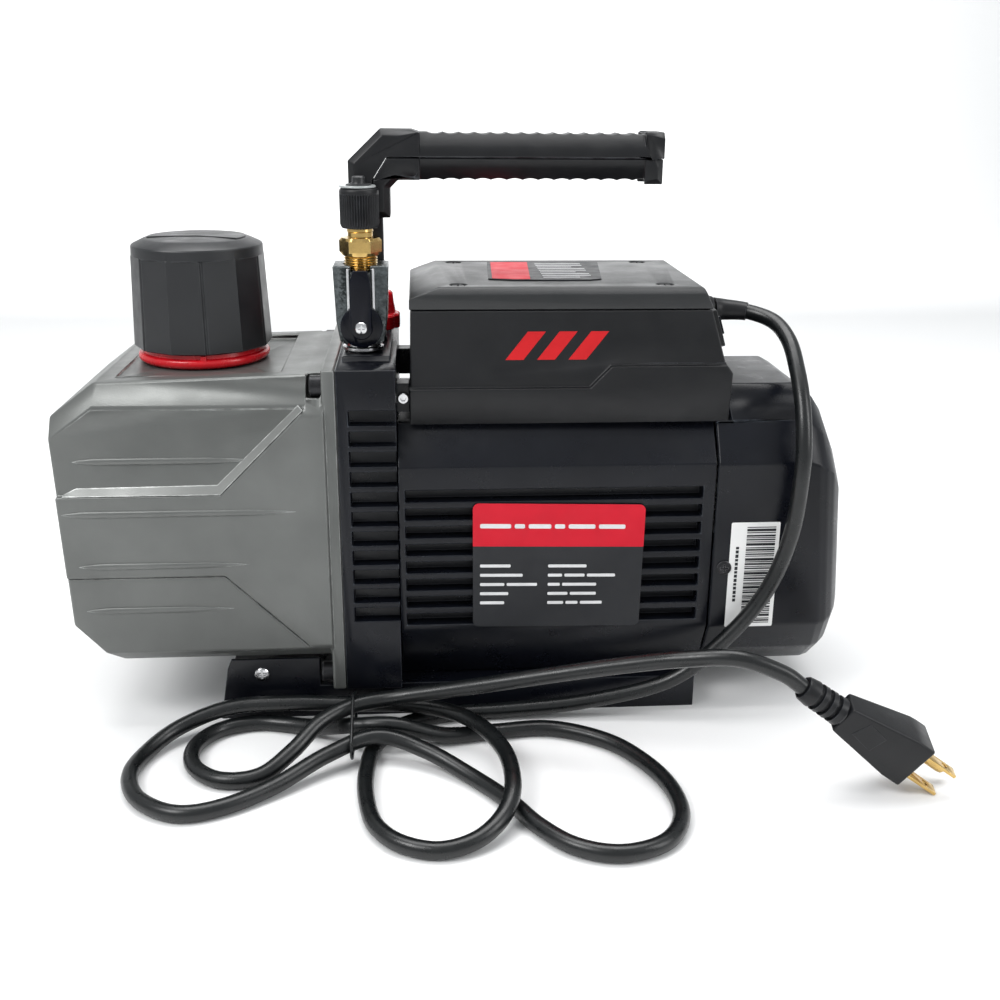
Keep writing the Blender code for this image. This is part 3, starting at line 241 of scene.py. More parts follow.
def surface(name, colour, roughness, metallic=0.0, mottle=0.15, mottle_size=0.03, grain=0.0004,
            grain_depth=0.00004, edge_wear_and_highlight=None, edge_wear_and_highlight_width=0.0008, stretch=(1, 1, 1), hammered=0.0,
            specular=0.5):
    """Base colour variation, uneven gloss, fine grain and lighter edges for one finish; the edges are partly wear and
    partly a painted highlight.
    """
    material = bpy.data.materials.new(name)
    material.use_nodes = True
    tree = material.node_tree
    shader = tree.nodes["Principled BSDF"]
    place = node(tree, "ShaderNodeTexCoord")
    patches = scaled_noise(tree, place, mottle_size, 4)
    darker = tuple(c * (1 - mottle) for c in colour)
    lighter = tuple(min(1.0, c * (1 + mottle)) for c in colour)
    base = mixed(tree, spread(tree, patches, 0.0, 1.0), darker, lighter)
    gloss = spread(tree, scaled_noise(tree, place, mottle_size * 0.35, 5, stretch),
                   roughness * 0.82, min(1.0, roughness * 1.2))
    # painted highlight: the lighter edge colour is partly wear and partly light caught on the edges, painted into the
    # base colour
    if edge_wear_and_highlight is not None:
        mask = edge_mask(tree, place, edge_wear_and_highlight_width)
        base = mixed(tree, mask, base, edge_wear_and_highlight)
    tree.links.new(base, shader.inputs["Base Color"])
    tree.links.new(gloss, shader.inputs["Roughness"])
    shader.inputs["Metallic"].default_value = metallic
    shader.inputs["Specular IOR Level"].default_value = specular
    bump = node(tree, "ShaderNodeBump", Strength=0.6, Distance=grain_depth)
    tree.links.new(scaled_noise(tree, place, grain, 2, stretch), bump.inputs["Height"])
    if hammered:
        dents = node(tree, "ShaderNodeTexVoronoi", Scale=1.0 / hammered, feature="SMOOTH_F1")
        tree.links.new(place.outputs["Object"], dents.inputs["Vector"])
        dented = node(tree, "ShaderNodeBump", Strength=0.8, Distance=hammered * 0.35)
        tree.links.new(dents.outputs["Distance"], dented.inputs["Height"])
        tree.links.new(dented.outputs["Normal"], bump.inputs["Normal"])
    tree.links.new(bump.outputs["Normal"], shader.inputs["Normal"])
    return material


def make_materials():
    # the lighter edge colours given to most finishes are painted edge highlights as well as wear
    return {
        "tank_grey": surface("tank_grey_cast", (0.130, 0.135, 0.130), 0.36, 0.45, 0.12, 0.05, 0.0007,
                             0.00008, edge_wear_and_highlight=(0.52, 0.53, 0.52), edge_wear_and_highlight_width=0.0009),
        "black_paint": surface("black_paint_gloss", (0.0035, 0.0042, 0.0070), 0.30, 0.0, 0.25, 0.04, 0.0005,
                               0.00005, edge_wear_and_highlight=(0.13, 0.15, 0.18), edge_wear_and_highlight_width=0.0005, specular=0.28),
        "black_plastic": surface("black_plastic_moulded", (0.0045, 0.0048, 0.0060), 0.40, 0.0, 0.2, 0.03,
                                 0.0003, 0.00005, edge_wear_and_highlight=(0.050, 0.053, 0.060), edge_wear_and_highlight_width=0.0005,
                                 specular=0.35),
        "rubber": surface("cord_rubber", (0.0045, 0.0055, 0.0060), 0.30, 0.0, 0.25, 0.012, 0.0006,
                          0.00006),
        "steel": surface("machined_steel", (0.56, 0.56, 0.57), 0.28, 1.0, 0.08, 0.01, 0.0002, 0.00002,
                         stretch=(1, 1, 8)),
        "dark_steel": surface("blackened_steel", (0.020, 0.020, 0.022), 0.32, 0.6, 0.2, 0.008, 0.0003,
                              0.00003, edge_wear_and_highlight=(0.22, 0.22, 0.23), edge_wear_and_highlight_width=0.0004),
        "nickel": surface("hammered_nickel", (0.075, 0.085, 0.088), 0.30, 0.75, 0.45, 0.003, 0.0004, 0.0001,
                          edge_wear_and_highlight=(0.60, 0.62, 0.62), edge_wear_and_highlight_width=0.0006, hammered=0.0012),
        "brass": surface("turned_brass", (0.62, 0.42, 0.15), 0.22, 1.0, 0.15, 0.006, 0.0002, 0.00002,
                         edge_wear_and_highlight=(0.95, 0.78, 0.42), edge_wear_and_highlight_width=0.0004),
        "copper": surface("varnished_copper", (0.50, 0.20, 0.08), 0.35, 0.8, 0.2, 0.003, 0.0003, 0.00006,
                          stretch=(6, 1, 1)),
        "red_plastic": surface("red_plastic_gloss", (0.62, 0.006, 0.014), 0.25, 0.0, 0.12, 0.01, 0.0004,
                               0.00002, edge_wear_and_highlight=(0.80, 0.05, 0.07)),
        "clear_plastic": surface("clear_plastic_milky", (0.36, 0.38, 0.38), 0.22, 0.0, 0.12, 0.004),
        "glass": sight_glass_material(),
        "carbon": surface("carbon_vane", (0.035, 0.035, 0.038), 0.55, 0.0, 0.2, 0.004),
        "capacitor_grey": surface("capacitor_case", (0.50, 0.51, 0.53), 0.4, 0.0, 0.06, 0.01),
        "label": surface("label_dark", (0.016, 0.017, 0.020), 0.42, 0.0, 0.10, 0.02, 0.0002, 0.00001,
                         specular=0.3),
        "label_red": surface("label_red", (0.58, 0.006, 0.022), 0.45, 0.0, 0.06, 0.02, 0.0002, 0.00001,
                             specular=0.25),
        "label_light": surface("label_print", (0.70, 0.70, 0.71), 0.5, 0.0, 0.06, 0.01),
        "paper": surface("sticker_paper", (0.82, 0.82, 0.81), 0.5, 0.0, 0.04, 0.02, 0.0003, 0.00001),
        "accent_red": surface("accent_red_paint", (0.56, 0.008, 0.012), 0.45, 0.0, 0.08, 0.02, specular=0.25),
        "lever_black": surface("lever_gloss", (0.0012, 0.0018, 0.0055), 0.16, 0.0, 0.2, 0.01, 0.0005,
                               0.00003, edge_wear_and_highlight=(0.10, 0.11, 0.14), edge_wear_and_highlight_width=0.0004, specular=0.22),
        "cap_black": surface("cap_plastic_satin", (0.0110, 0.0118, 0.0135), 0.38, 0.0, 0.12, 0.03, 0.0003,
                             0.00005, edge_wear_and_highlight=(0.09, 0.095, 0.10), edge_wear_and_highlight_width=0.0004),
        "bright_steel": surface("bright_steel", (0.66, 0.66, 0.67), 0.20, 1.0, 0.1, 0.003),
        "lid_black": surface("lid_plastic", (0.014, 0.015, 0.016), 0.34, 0.0, 0.15, 0.05, 0.0004, 0.00006,
                             edge_wear_and_highlight=(0.05, 0.05, 0.055)),
    }


def sight_glass_material():
    """Amber oil seen through glass, darker below the oil line."""
    material = bpy.data.materials.new("sight_glass_oil")
    material.use_nodes = True
    tree = material.node_tree
    shader = tree.nodes["Principled BSDF"]
    place = node(tree, "ShaderNodeTexCoord")
    split = node(tree, "ShaderNodeSeparateXYZ")
    tree.links.new(place.outputs["Object"], split.inputs["Vector"])
    low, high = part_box("sight_glass")
    middle = (low.z + high.z) / 2
    level = spread(tree, split.outputs["Z"], 0.0, 1.0, middle - 0.0002, middle + 0.0002)
    tree.links.new(mixed(tree, level, (0.42, 0.26, 0.06), (0.55, 0.56, 0.54)), shader.inputs["Base Color"])
    shader.inputs["Roughness"].default_value = 0.06
    shader.inputs["Coat Weight"].default_value = 0.8
    return material


# ---------------------------------------------------------------- mesh helpers

def link(name, mesh, material):
    piece = bpy.data.objects.new(name, mesh)
    mesh.materials.clear()
    mesh.materials.append(material)
    add(piece)
    return piece


def built(name, shape, material, smooth=None):
    """Turn a bmesh into a linked piece; smooth is the angle in degrees up to which it is shaded round."""
    mesh = bpy.data.meshes.new(name)
    shape.to_mesh(mesh)
    shape.free()
    if smooth is not None:
        mesh.shade_smooth()
        mesh.set_sharp_from_angle(angle=math.radians(smooth))
    return link(name, mesh, material)


def bake(piece):
    """Apply a piece's modifiers to its mesh."""
    depsgraph = bpy.context.evaluated_depsgraph_get()
    mesh = bpy.data.meshes.new_from_object(piece.evaluated_get(depsgraph))
    piece.modifiers.clear()
    piece.data = mesh
    return piece


def bevelled(piece, width, segments=3, angle=30):
    """Round a piece's hard edges, keep its flats flat, and apply the result."""
    piece.data.shade_smooth()
    bevel = piece.modifiers.new("edges", "BEVEL")
    bevel.width = width
    bevel.segments = segments
    bevel.limit_method = "ANGLE"
    bevel.angle_limit = math.radians(angle)
    bevel.harden_normals = True
    bevel.use_clamp_overlap = False
    return bake(piece)


def carve(piece, tool):
    """Cut a tool out of a piece, and remove the tool."""
    change = piece.modifiers.new("carve", "BOOLEAN")
    change.operation = "DIFFERENCE"
    change.object = tool
    change.solver = "EXACT"
    bake(piece)
    bpy.data.objects.remove(tool, do_unlink=True)
    return piece


def copy_of(name, source, material):
    """A clean copy of a CAD node's mesh, its triangles paired where they make good quads."""
    shape = bmesh.new()
    shape.from_mesh(NODES[source].data)
    bmesh.ops.remove_doubles(shape, verts=shape.verts, dist=2e-6)
    bmesh.ops.join_triangles(shape, faces=shape.faces, angle_face_threshold=math.radians(0.5),
                             angle_shape_threshold=math.radians(60))
    return built(name, shape, material)


def box_piece(name, low, high, material, place=None):
    shape = bmesh.new()
    low, high = Vector(low), Vector(high)
    matrix = move((low + high) / 2) @ Matrix.Diagonal((*(high - low), 1.0))
    bmesh.ops.create_cube(shape, size=1.0, matrix=matrix)
    if place is not None:
        bmesh.ops.transform(shape, matrix=place, verts=shape.verts)
    return built(name, shape, material)


def prism(name, outline, depth, place, material):
    """Flat outline in local XY, extruded from 0 to depth along local Z."""
    shape = bmesh.new()
    ring = [shape.verts.new((x, y, 0)) for x, y in outline]
    face = shape.faces.new(ring)
    moved = bmesh.ops.extrude_face_region(shape, geom=[face])["geom"]
    bmesh.ops.translate(shape, vec=(0, 0, depth), verts=[v for v in moved if isinstance(v, bmesh.types.BMVert)])
    bmesh.ops.recalc_face_normals(shape, faces=shape.faces)
    bmesh.ops.transform(shape, matrix=place, verts=shape.verts)
    return built(name, shape, material)


def rounded_outline(low, high, radius, steps=5):
    """Rectangle with round corners, as a list of points."""
    points = []
    corners = [((high[0] - radius, high[1] - radius), 0), ((low[0] + radius, high[1] - radius), 90),
               ((low[0] + radius, low[1] + radius), 180), ((high[0] - radius, low[1] + radius), 270)]
    for (x, y), start in corners:
        for step in range(steps + 1):
            angle = math.radians(start + 90 * step / steps)
            points.append((x + radius * math.cos(angle), y + radius * math.sin(angle)))
    return points


def along(axis):
    return Vector(axis).to_track_quat("Z", "Y").to_matrix().to_4x4()


def lathe(name, profile, place, material, segments=96, shape_of=None, smooth=32):
    """Turn (radius, height) points round local Z; shape_of(angle, radius, height) may change the radius."""
    shape = bmesh.new()
    rings = []
    for radius, height in profile:
        if radius == 0.0:
            rings.append([shape.verts.new((0, 0, height))])
            continue
        ring = []
        for k in range(segments):
            angle = 2 * math.pi * k / segments
            size = shape_of(angle, radius, height) if shape_of else radius
            ring.append(shape.verts.new((size * math.cos(angle), size * math.sin(angle), height)))
        rings.append(ring)
    for one, two in zip(rings, rings[1:]):
        for k in range(segments):
            after = (k + 1) % segments
            if len(one) == 1 and len(two) > 1:
                shape.faces.new((one[0], two[after], two[k]))
            elif len(two) == 1 and len(one) > 1:
                shape.faces.new((one[k], one[after], two[0]))
            elif len(one) > 1:
                shape.faces.new((one[k], one[after], two[after], two[k]))
    if profile[0] == profile[-1] and profile[0][0] > 0:
        bmesh.ops.remove_doubles(shape, verts=shape.verts, dist=1e-7)
    bmesh.ops.recalc_face_normals(shape, faces=shape.faces)
    bmesh.ops.transform(shape, matrix=place, verts=shape.verts)
    return built(name, shape, material, smooth)


def merged(name, pieces, material):
    """Join several pieces into one mesh object."""
    shape = bmesh.new()
    for piece in pieces:
        shape.from_mesh(piece.data)
        bpy.data.objects.remove(piece, do_unlink=True)
    return built(name, shape, material)


def show(piece, slot, *nodes, body="housing"):
    """Attach a finished piece to its body and hide the CAD nodes it stands for; the slot is not used."""
    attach(piece, body)
    if nodes:
        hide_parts(*nodes)
    return piece


def recast(name, source, material, slot, width, body="housing", segments=3, angle=30):
    """Show a CAD node as a copy of itself with its hard edges rounded."""
    return show(bevelled(copy_of(name, source, material), width, segments, angle), slot, source, body=body)


def middle_of(name):
    low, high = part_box(name)
    return (low + high) / 2


# ---------------------------------------------------------------- fasteners

def socket_screw(name, place, radius, height, material):
    """Cap screw head standing on local Z = 0, with a hexagon socket."""
    edge = radius * 0.12
    profile = [(0.0, 0.0), (radius, 0.0), (radius, height - edge), (radius - edge, height), (0.0, height)]
    head = lathe(name, profile, place, material, 40)
    hexagon = [(radius * 0.56 * math.cos(math.radians(60 * k)), radius * 0.56 * math.sin(math.radians(60 * k)))
               for k in range(6)]
    lift = move((0, 0, height * 0.45))
    return carve(head, prism("socket", hexagon, height, place @ lift, material))


def cross_screw(name, place, radius, height, material):
    """Pan-head screw with a cross recess."""
    profile = [(0.0, 0.0), (radius, 0.0), (radius, height * 0.45), (radius * 0.86, height * 0.8),
               (radius * 0.55, height), (0.0, height)]
    head = lathe(name, profile, place, material, 32)
    long, wide = radius * 0.55, radius * 0.13
    for size in ((long, wide), (wide, long)):
        low = (-size[0], -size[1], height * 0.35)
        high = (size[0], size[1], height * 1.5)
        carve(head, box_piece("recess", low, high, material, place))
    return head


# ---------------------------------------------------------------- tank

# height, left and right end, and distance out of the face that each pressed rib stands on
TANK_RIBS = [(0.1400, -0.1885, -0.1060, 0.0615), (0.1148, -0.1955, -0.0870, 0.0640),
             (0.0885, -0.1900, -0.1100, 0.0640), (0.0650, -0.1890, -0.1190, 0.0626)]


def swept(name, rings, material):
    """Closed strip through rings of equal length."""
    shape = bmesh.new()
    rows = [[shape.verts.new(point) for point in ring] for ring in rings]
    for one, two in zip(rows, rows[1:]):
        for k in range(len(one)):
            after = (k + 1) % len(one)
            shape.faces.new((one[k], one[after], two[after], two[k]))
    shape.faces.new(rows[0])
    shape.faces.new(rows[-1])
    bmesh.ops.recalc_face_normals(shape, faces=shape.faces)
    return built(name, shape, material, 50)


def rib_strip(height, start, end, side, face, material, half=0.0018, relief=0.0009):
    """Low rounded rib on the tank's side that tapers out at both ends."""
    rings = []
    for x, size in ((start, 0.05), (start + 0.003, 0.5), (start + 0.010, 1.0), (end - 0.020, 0.9),
                    (end - 0.006, 0.4), (end, 0.05)):
        ring = [(x, side * (face - 0.0004), height - half * size), (x, side * (face - 0.0004), height + half * size)]
        for angle in (30, 60, 90, 120, 150):
            turn = math.radians(angle)
            ring.append((x, side * (face + relief * size * math.sin(turn)), height + half * size * math.cos(turn)))
        rings.append(ring)
    return swept("rib", rings, material)


def tank_ledge(name, side, material):
    """Bright sloping face between the sunk upper panel and the tank's side."""
    outer, sunk = side * 0.06395, side * 0.0613
    stations = [((-0.1945, 0.1235), (0.0, 0.0006)), ((-0.1880, 0.1235), (0.0, 0.0040)),
                ((-0.1217, 0.1235), (-0.0015, 0.0048)), ((-0.0815, 0.1640), (-0.0024, 0.0024))]
    rings = []
    for (x, z), (aside, above) in stations:
        rings.append([(at(x), outer, z), (at(x), sunk, z), (at(x + aside), sunk, z + above)])
    return bevelled(swept(name, rings, material), 0.0003)


FLANGE_FACE = 0.0064  # from the gasket to the face that the tank's screw heads stand on
HEX_PART = (-0.0025, 0.0075)  # the drain plug is a hexagon above this height and inside this radius


def drain_hexagon(angle, radius, height):
    if height > HEX_PART[0] and 0 < radius < HEX_PART[1]:
        return radius / math.cos((angle % (math.pi / 3)) - math.pi / 6) * 0.93
    return radius


def dress_tank(paint):
    recast("oil_tank_casting", "oil_tank", paint["tank_grey"], "tank_grey", 0.0012, segments=4)
    ribs = []
    for height, start, end, face in TANK_RIBS:
        for _, side in SIDES:
            ribs.append(rib_strip(height, at(start), at(end), side, face, paint["tank_grey"]))
    show(merged("oil_tank_ribs", ribs, paint["tank_grey"]), "tank_grey")
    for name, side in SIDES:
        ledge = tank_ledge(f"oil_tank_ledge_{name}", side, paint["tank_grey"])
        show(ledge, "tank_grey")
    for number in range(1, 5):
        name = f"tank_bolt_{number}"
        centre = middle_of(name)
        centre.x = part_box("tank_gasket")[0].x - FLANGE_FACE
        head = socket_screw(f"tank_screw_{number}", move(centre) @ along((-1, 0, 0)), 0.0051,
                            0.0058, paint["dark_steel"])
        show(head, "dark_steel", name)
    glass = middle_of("sight_glass")
    glass.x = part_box("sight_glass")[0].x
    out = along((-1, 0, 0))
    bezel = [(0.0098, -0.0020), (0.0134, -0.0020), (0.0134, -0.0004), (0.0126, 0.0003), (0.0108, 0.0003),
             (0.0098, -0.0008), (0.0098, -0.0020)]
    show(lathe("sight_glass_ring", bezel, move(glass) @ out, paint["bright_steel"], 64),
         "steel")
    drain = middle_of("drain_plug")
    drain.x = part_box("drain_plug")[0].x
    head = [(0.0, -0.0105), (0.0056, -0.0105), (0.0056, -0.0030), (0.0094, -0.0030), (0.0094, -0.0020),
            (0.0070, -0.0020), (0.0070, -0.0003), (0.0062, 0.0003), (0.0, 0.0003)]
    show(lathe("drain_plug_hex", head, move(drain) @ out, paint["brass"], 72,
               drain_hexagon), "brass", "drain_plug")


CAP_LIFT = 0.0030  # the cap's skirt ends this far above its CAD outline, on a thicker ring
CAP_SHOULDER = 0.0440  # height of the facets' upper edge above the skirt
CAP_GROOVE = math.radians(-78)  # where the groove nearest the front stands
CAP_FACET_FROM = 0.028  # points inside this radius stay round
CAP_FOOT = (0.0334, 0.0006)  # radius and height where the cone starts
CAP_TAPER = 0.0017  # how much narrower it is at the shoulder
CAP_BORE = 0.0253
GROOVE_DEPTH = 0.0010
GROOVE_WIDTH = 0.020  # radians


def cap_radius(angle, radius, height):
    """Twelve flat facets with six narrow grooves between them, up to the shoulder."""
    if height > CAP_SHOULDER or radius < CAP_FACET_FROM:
        return radius
    step = math.pi / 6
    local = (angle - CAP_GROOVE) % step - step / 2
    shaped = radius * math.cos(step / 2) / math.cos(local) + 0.0002
    gap = (angle - CAP_GROOVE + step) % (2 * step) - step
    return shaped - GROOVE_DEPTH * math.exp(-(gap / GROOVE_WIDTH) ** 2)


def dress_oil_cap(paint):
    low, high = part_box("oil_fill_cap")
    centre = (low + high) / 2
    base = move((centre.x, centre.y, low.z + CAP_LIFT))
    tall = high.z - low.z - CAP_LIFT
    wide, start = CAP_FOOT
    profile = [(CAP_BORE, 0.0), (0.0328, 0.0), CAP_FOOT]
    profile += [(wide - CAP_TAPER * k / 8, start + (CAP_SHOULDER - start) * k / 8) for k in range(1, 9)]
    profile += [(0.0317, CAP_SHOULDER + 0.0003), (0.0315, tall - 0.0046), (0.0312, tall - 0.0040),
                (0.0305, tall - 0.0035), (0.0256, tall - 0.0012), (0.0244, tall - 0.0009),
                (0.0200, tall - 0.0008), (0.0150, tall - 0.0007), (0.0100, tall - 0.0006),
                (0.0050, tall - 0.0006), (0.0, tall - 0.0006)]
    cap = lathe("oil_cap_shell", profile, base, paint["cap_black"], 540, cap_radius, 14)
    crest = lathe("oil_cap_crest", [(0.0, 0.0), (0.0236, 0.0), (0.0234, 0.0004), (0.0, 0.0005)],
                  move((centre.x, centre.y, high.z - 0.0007)), paint["cap_black"], 96)
    cut_place = move((centre.x - 0.0060, centre.y - 0.0440, high.z - 0.0020))
    carve(crest, lathe("crescent_cut", [(0.0, 0.0), (0.0420, 0.0), (0.0420, 0.004), (0.0, 0.004)], cut_place,
                       paint["cap_black"], 160))
    show(crest, "black_plastic", body="oil_cap")
    inside = [(CAP_BORE, 0.0), (0.0251, 0.0440), (0.0, 0.0440)]
    inner = lathe("oil_cap_inside", inside, base, paint["cap_black"], 64)
    show(inner, "black_plastic", body="oil_cap")
    show(cap, "black_plastic", "oil_fill_cap", body="oil_cap")

    ring_low, ring_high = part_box("cap_seal_ring")
    thick = ring_high.z - ring_low.z + CAP_LIFT - 0.0002
    ring = [(0.0252, thick * 0.96), (0.0252, 0.0002), (0.0302, 0.0004), (0.0316, 0.0014), (0.0320, thick * 0.32),
            (0.0320, thick * 0.55), (0.0312, thick * 0.68), (0.0296, thick * 0.72), (0.0293, thick * 0.96),
            (0.0252, thick * 0.96)]
    seal = lathe("cap_seal_gloss", ring, move((centre.x, centre.y, ring_low.z)),
                 paint["red_plastic"], 128, smooth=50)
    show(seal, "red_plastic", "cap_seal_ring", body="cap_seal")
    tab = box_piece("cap_seal_tab", (centre.x + 0.0030, -0.0312, ring_low.z + thick * 0.60),
                    (centre.x + 0.0058, -0.0290, ring_low.z + thick * 0.97), paint["red_plastic"])
    show(bevelled(tab, 0.0003), "red_plastic", body="cap_seal")
    neck_low, neck_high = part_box("filler_neck")
    top = neck_high.z - neck_low.z
    neck = [(0.0195, 0.0), (0.0220, 0.0), (0.0220, 0.0078), (0.0238, 0.0080)]
    turn = 0.0100
    while turn < top - 0.0025:
        neck += [(0.0238, turn), (0.0230, turn + 0.0008), (0.0238, turn + 0.0016)]
        turn += 0.0020
    neck += [(0.0236, top), (0.0197, top), (0.0195, top - 0.0004), (0.0195, 0.0)]
    show(lathe("filler_neck_thread", neck, move((centre.x, centre.y, neck_low.z)),
               paint["black_plastic"], 96), "black_plastic", "filler_neck")


# ---------------------------------------------------------------- pump block and inlet

def dress_pump_block(paint):
    recast("pump_block_casting", "pump_body", paint["black_paint"], "black_paint", 0.0006)
    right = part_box("pump_body")[1].x
    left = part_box("box_body")[0].x
    half, foot, top = 0.0050, 0.1580, 0.1720
    for name, side in SIDES:
        y = side * 0.0400
        strap = box_piece(f"box_bracket_{name}", (right - 0.0002, y - half, foot), (left + 0.0002, y + half, top),
                          paint["black_paint"])
        show(bevelled(strap, 0.0006), "black_paint")
        place = move((left - 0.0030, y + side * half, (foot + top) / 2)) @ along((0, side, 0))
        bolt = socket_screw(f"box_bracket_screw_{name}", place, 0.0026, 0.0022, paint["bright_steel"])
        show(bolt, "steel")


def brass_radius(angle, radius, height):
    """Hexagon between the fitting's shoulders, cut back by its chamfers."""
    if not 0.0068 < height < 0.0152 or radius < 0.0080:
        return radius
    hexagon = 0.0087 / math.cos((angle % (math.pi / 3)) - math.pi / 6)
    return min(hexagon, radius)


LEVER_Z = 0.198  # height of the valve's turning axis


def dress_inlet(paint):
    valve_low, valve_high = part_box("valve_body")
    collar_low, collar_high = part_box("inlet_collar")
    x, y = (collar_low.x + collar_high.x) / 2, (collar_low.y + collar_high.y) / 2
    recast("valve_casting", "valve_body", paint["nickel"], "nickel", 0.0007)
    # painted highlight: bright steel strips on the valve body's front stand for light falling on the inner sides of
    # its ears
    edges = []
    for sign in (-1, 1):
        inner = x + sign * 0.0052
        edges.append(box_piece("edge", (min(inner, inner + sign * 0.0014), valve_low.y - 0.0001, 0.2030),
                               (max(inner, inner + sign * 0.0014), valve_low.y + 0.0012, valve_high.z - 0.0012),
                               paint["bright_steel"]))
    show(bevelled(merged("valve_painted_highlight_strips", edges, paint["bright_steel"]), 0.0003), "nickel")
    tall = collar_high.z - collar_low.z
    collar = [(0.0053, 0.0), (0.0092, 0.0), (0.0099, 0.0008), (0.0099, 0.0020), (0.0086, 0.0026),
              (0.0086, tall - 0.0002), (0.0053, tall - 0.0002), (0.0053, 0.0)]
    show(lathe("inlet_collar_turned", collar, move((x, y, collar_low.z)), paint["bright_steel"],
               64), "nickel", "inlet_collar")

    brass_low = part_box("brass_fitting")[0]
    profile = [(0.0031, 0.0), (0.0072, 0.0)]
    height = 0.0004
    while height < 0.0058:
        profile += [(0.0079, height + 0.0002), (0.0080, height + 0.0005), (0.0073, height + 0.0010)]
        height += 0.0012
    profile += [(0.0080, 0.0067), (0.0086, 0.0069), (0.0100, 0.0084), (0.0104, 0.0088), (0.0104, 0.0134),
                (0.0100, 0.0138), (0.0088, 0.0151), (0.0062, 0.0153), (0.0059, 0.0155), (0.0059, 0.0175),
                (0.0062, 0.0180), (0.0060, 0.0192), (0.0044, 0.0320), (0.0031, 0.0320), (0.0031, 0.0)]
    fitting = lathe("brass_flare_fitting", profile, move((x, y, brass_low.z)), paint["brass"],
                    144, brass_radius, 24)
    show(fitting, "brass", "brass_fitting")

    cap_low, cap_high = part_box("inlet_cap")
    tall = cap_high.z - cap_low.z
    ribs = 44

    def knurl(angle, radius, height):
        if radius < 0.0088 or height > tall - 0.0028:
            return radius
        return radius - 0.00030 * (1 + math.cos(ribs * angle))

    shell = [(0.0062, 0.0004), (0.0082, 0.0), (0.0089, 0.0009), (0.0092, 0.0020), (0.0092, tall - 0.0035),
             (0.0092, tall - 0.0029), (0.0092, tall - 0.0027), (0.0092, tall - 0.0014), (0.0089, tall - 0.0005),
             (0.0082, tall), (0.0, tall)]
    cap = lathe("inlet_cap_knurled", shell, move((x, y, cap_low.z)), paint["black_plastic"],
                ribs * 8, knurl, 40)
    show(cap, "black_plastic", "inlet_cap", body="inlet_cap_body")
    strap_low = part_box("cap_strap")[0]
    washer = [(0.0, 0.0), (0.0084, 0.0), (0.0086, 0.0003), (0.0084, 0.0009), (0.0, 0.0010)]
    show(lathe("cap_strap_washer", washer, move((x - 0.0006, y, strap_low.z)), paint["clear_plastic"],
               64), "clear_plastic", "cap_strap", body="inlet_cap_strap")
    button = [(0.0, 0.0), (0.0060, 0.0), (0.0060, 0.0005), (0.0034, 0.0007), (0.0031, 0.0014), (0.0030, 0.0036),
              (0.0024, 0.0041), (0.0, 0.0042)]
    show(lathe("cap_strap_button", button, move((x, y, strap_low.z + 0.0010)), paint["cap_black"],
               48), "clear_plastic", body="inlet_cap_strap")

    recast("valve_lever_gloss", "valve_lever", paint["lever_black"], "black_plastic", 0.0005, "valve_handle")
    pivot = Vector((x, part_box("valve_lever")[0].y, LEVER_Z))
    screw = cross_screw("valve_lever_screw", move(pivot) @ along((0, -1, 0)), 0.0030, 0.0015,
                        paint["bright_steel"])
    show(screw, "nickel", body="valve_handle")


def dress_gas_ballast(paint):
    low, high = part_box("gas_ballast_knob")
    centre = (low + high) / 2
    tall = high.z - low.z
    base = tall - 0.0193

    def lobes(angle, radius, _height):
        return radius if radius < 0.0095 else radius - 0.0005 * (1 + math.cos(12 * angle))

    profile = [(0.0, 0.0), (0.0041, 0.0), (0.0041, base), (0.0143, base), (0.0149, base + 0.0006),
               (0.0149, base + 0.0066), (0.0143, base + 0.0074), (0.0126, base + 0.0080),
               (0.0117, base + 0.0130), (0.0112, base + 0.0176), (0.0100, base + 0.0190), (0.0, base + 0.0193)]
    knob = lathe("gas_ballast_lobed", profile, move((centre.x, centre.y, low.z)),
                 paint["red_plastic"], 144, lobes)
    show(knob, "red_plastic", "gas_ballast_knob", body="gas_ballast")


# ---------------------------------------------------------------- handle

def chamfer_outside(piece, width, up):
    """Flat chamfers along the edges where a shell's side meets its outward-facing faces."""
    shape = bmesh.new()
    shape.from_mesh(piece.data)
    shape.normal_update()
    chosen = []
    for edge in shape.edges:
        if len(edge.link_faces) != 2:
            continue
        sides = [face.normal for face in edge.link_faces]
        flank = [n for n in sides if abs(n.y) > 0.95]
        outer = [n for n in sides if abs(n.y) < 0.2 and (n.z * up > 0.3 or n.x * up < -0.3)]
        if flank and outer and edge.calc_length() > 0.004:
            chosen.append(edge)
    bmesh.ops.bevel(shape, geom=chosen, offset=width, segments=1, affect="EDGES", clamp_overlap=False)
    shape.to_mesh(piece.data)
    shape.free()


GRIP_TOP = 0.2855
GRIP_BOTTOM = 0.2634
SCALLOP_COUNT = 14
SCALLOP_FIRST = -0.0185
SCALLOP_PITCH = 0.0077
SCALLOP_RADIUS = 0.0090
SCALLOP_DEPTH = 0.0008
SCALLOP_HALF = 0.0085  # half of a scallop's length across the grip


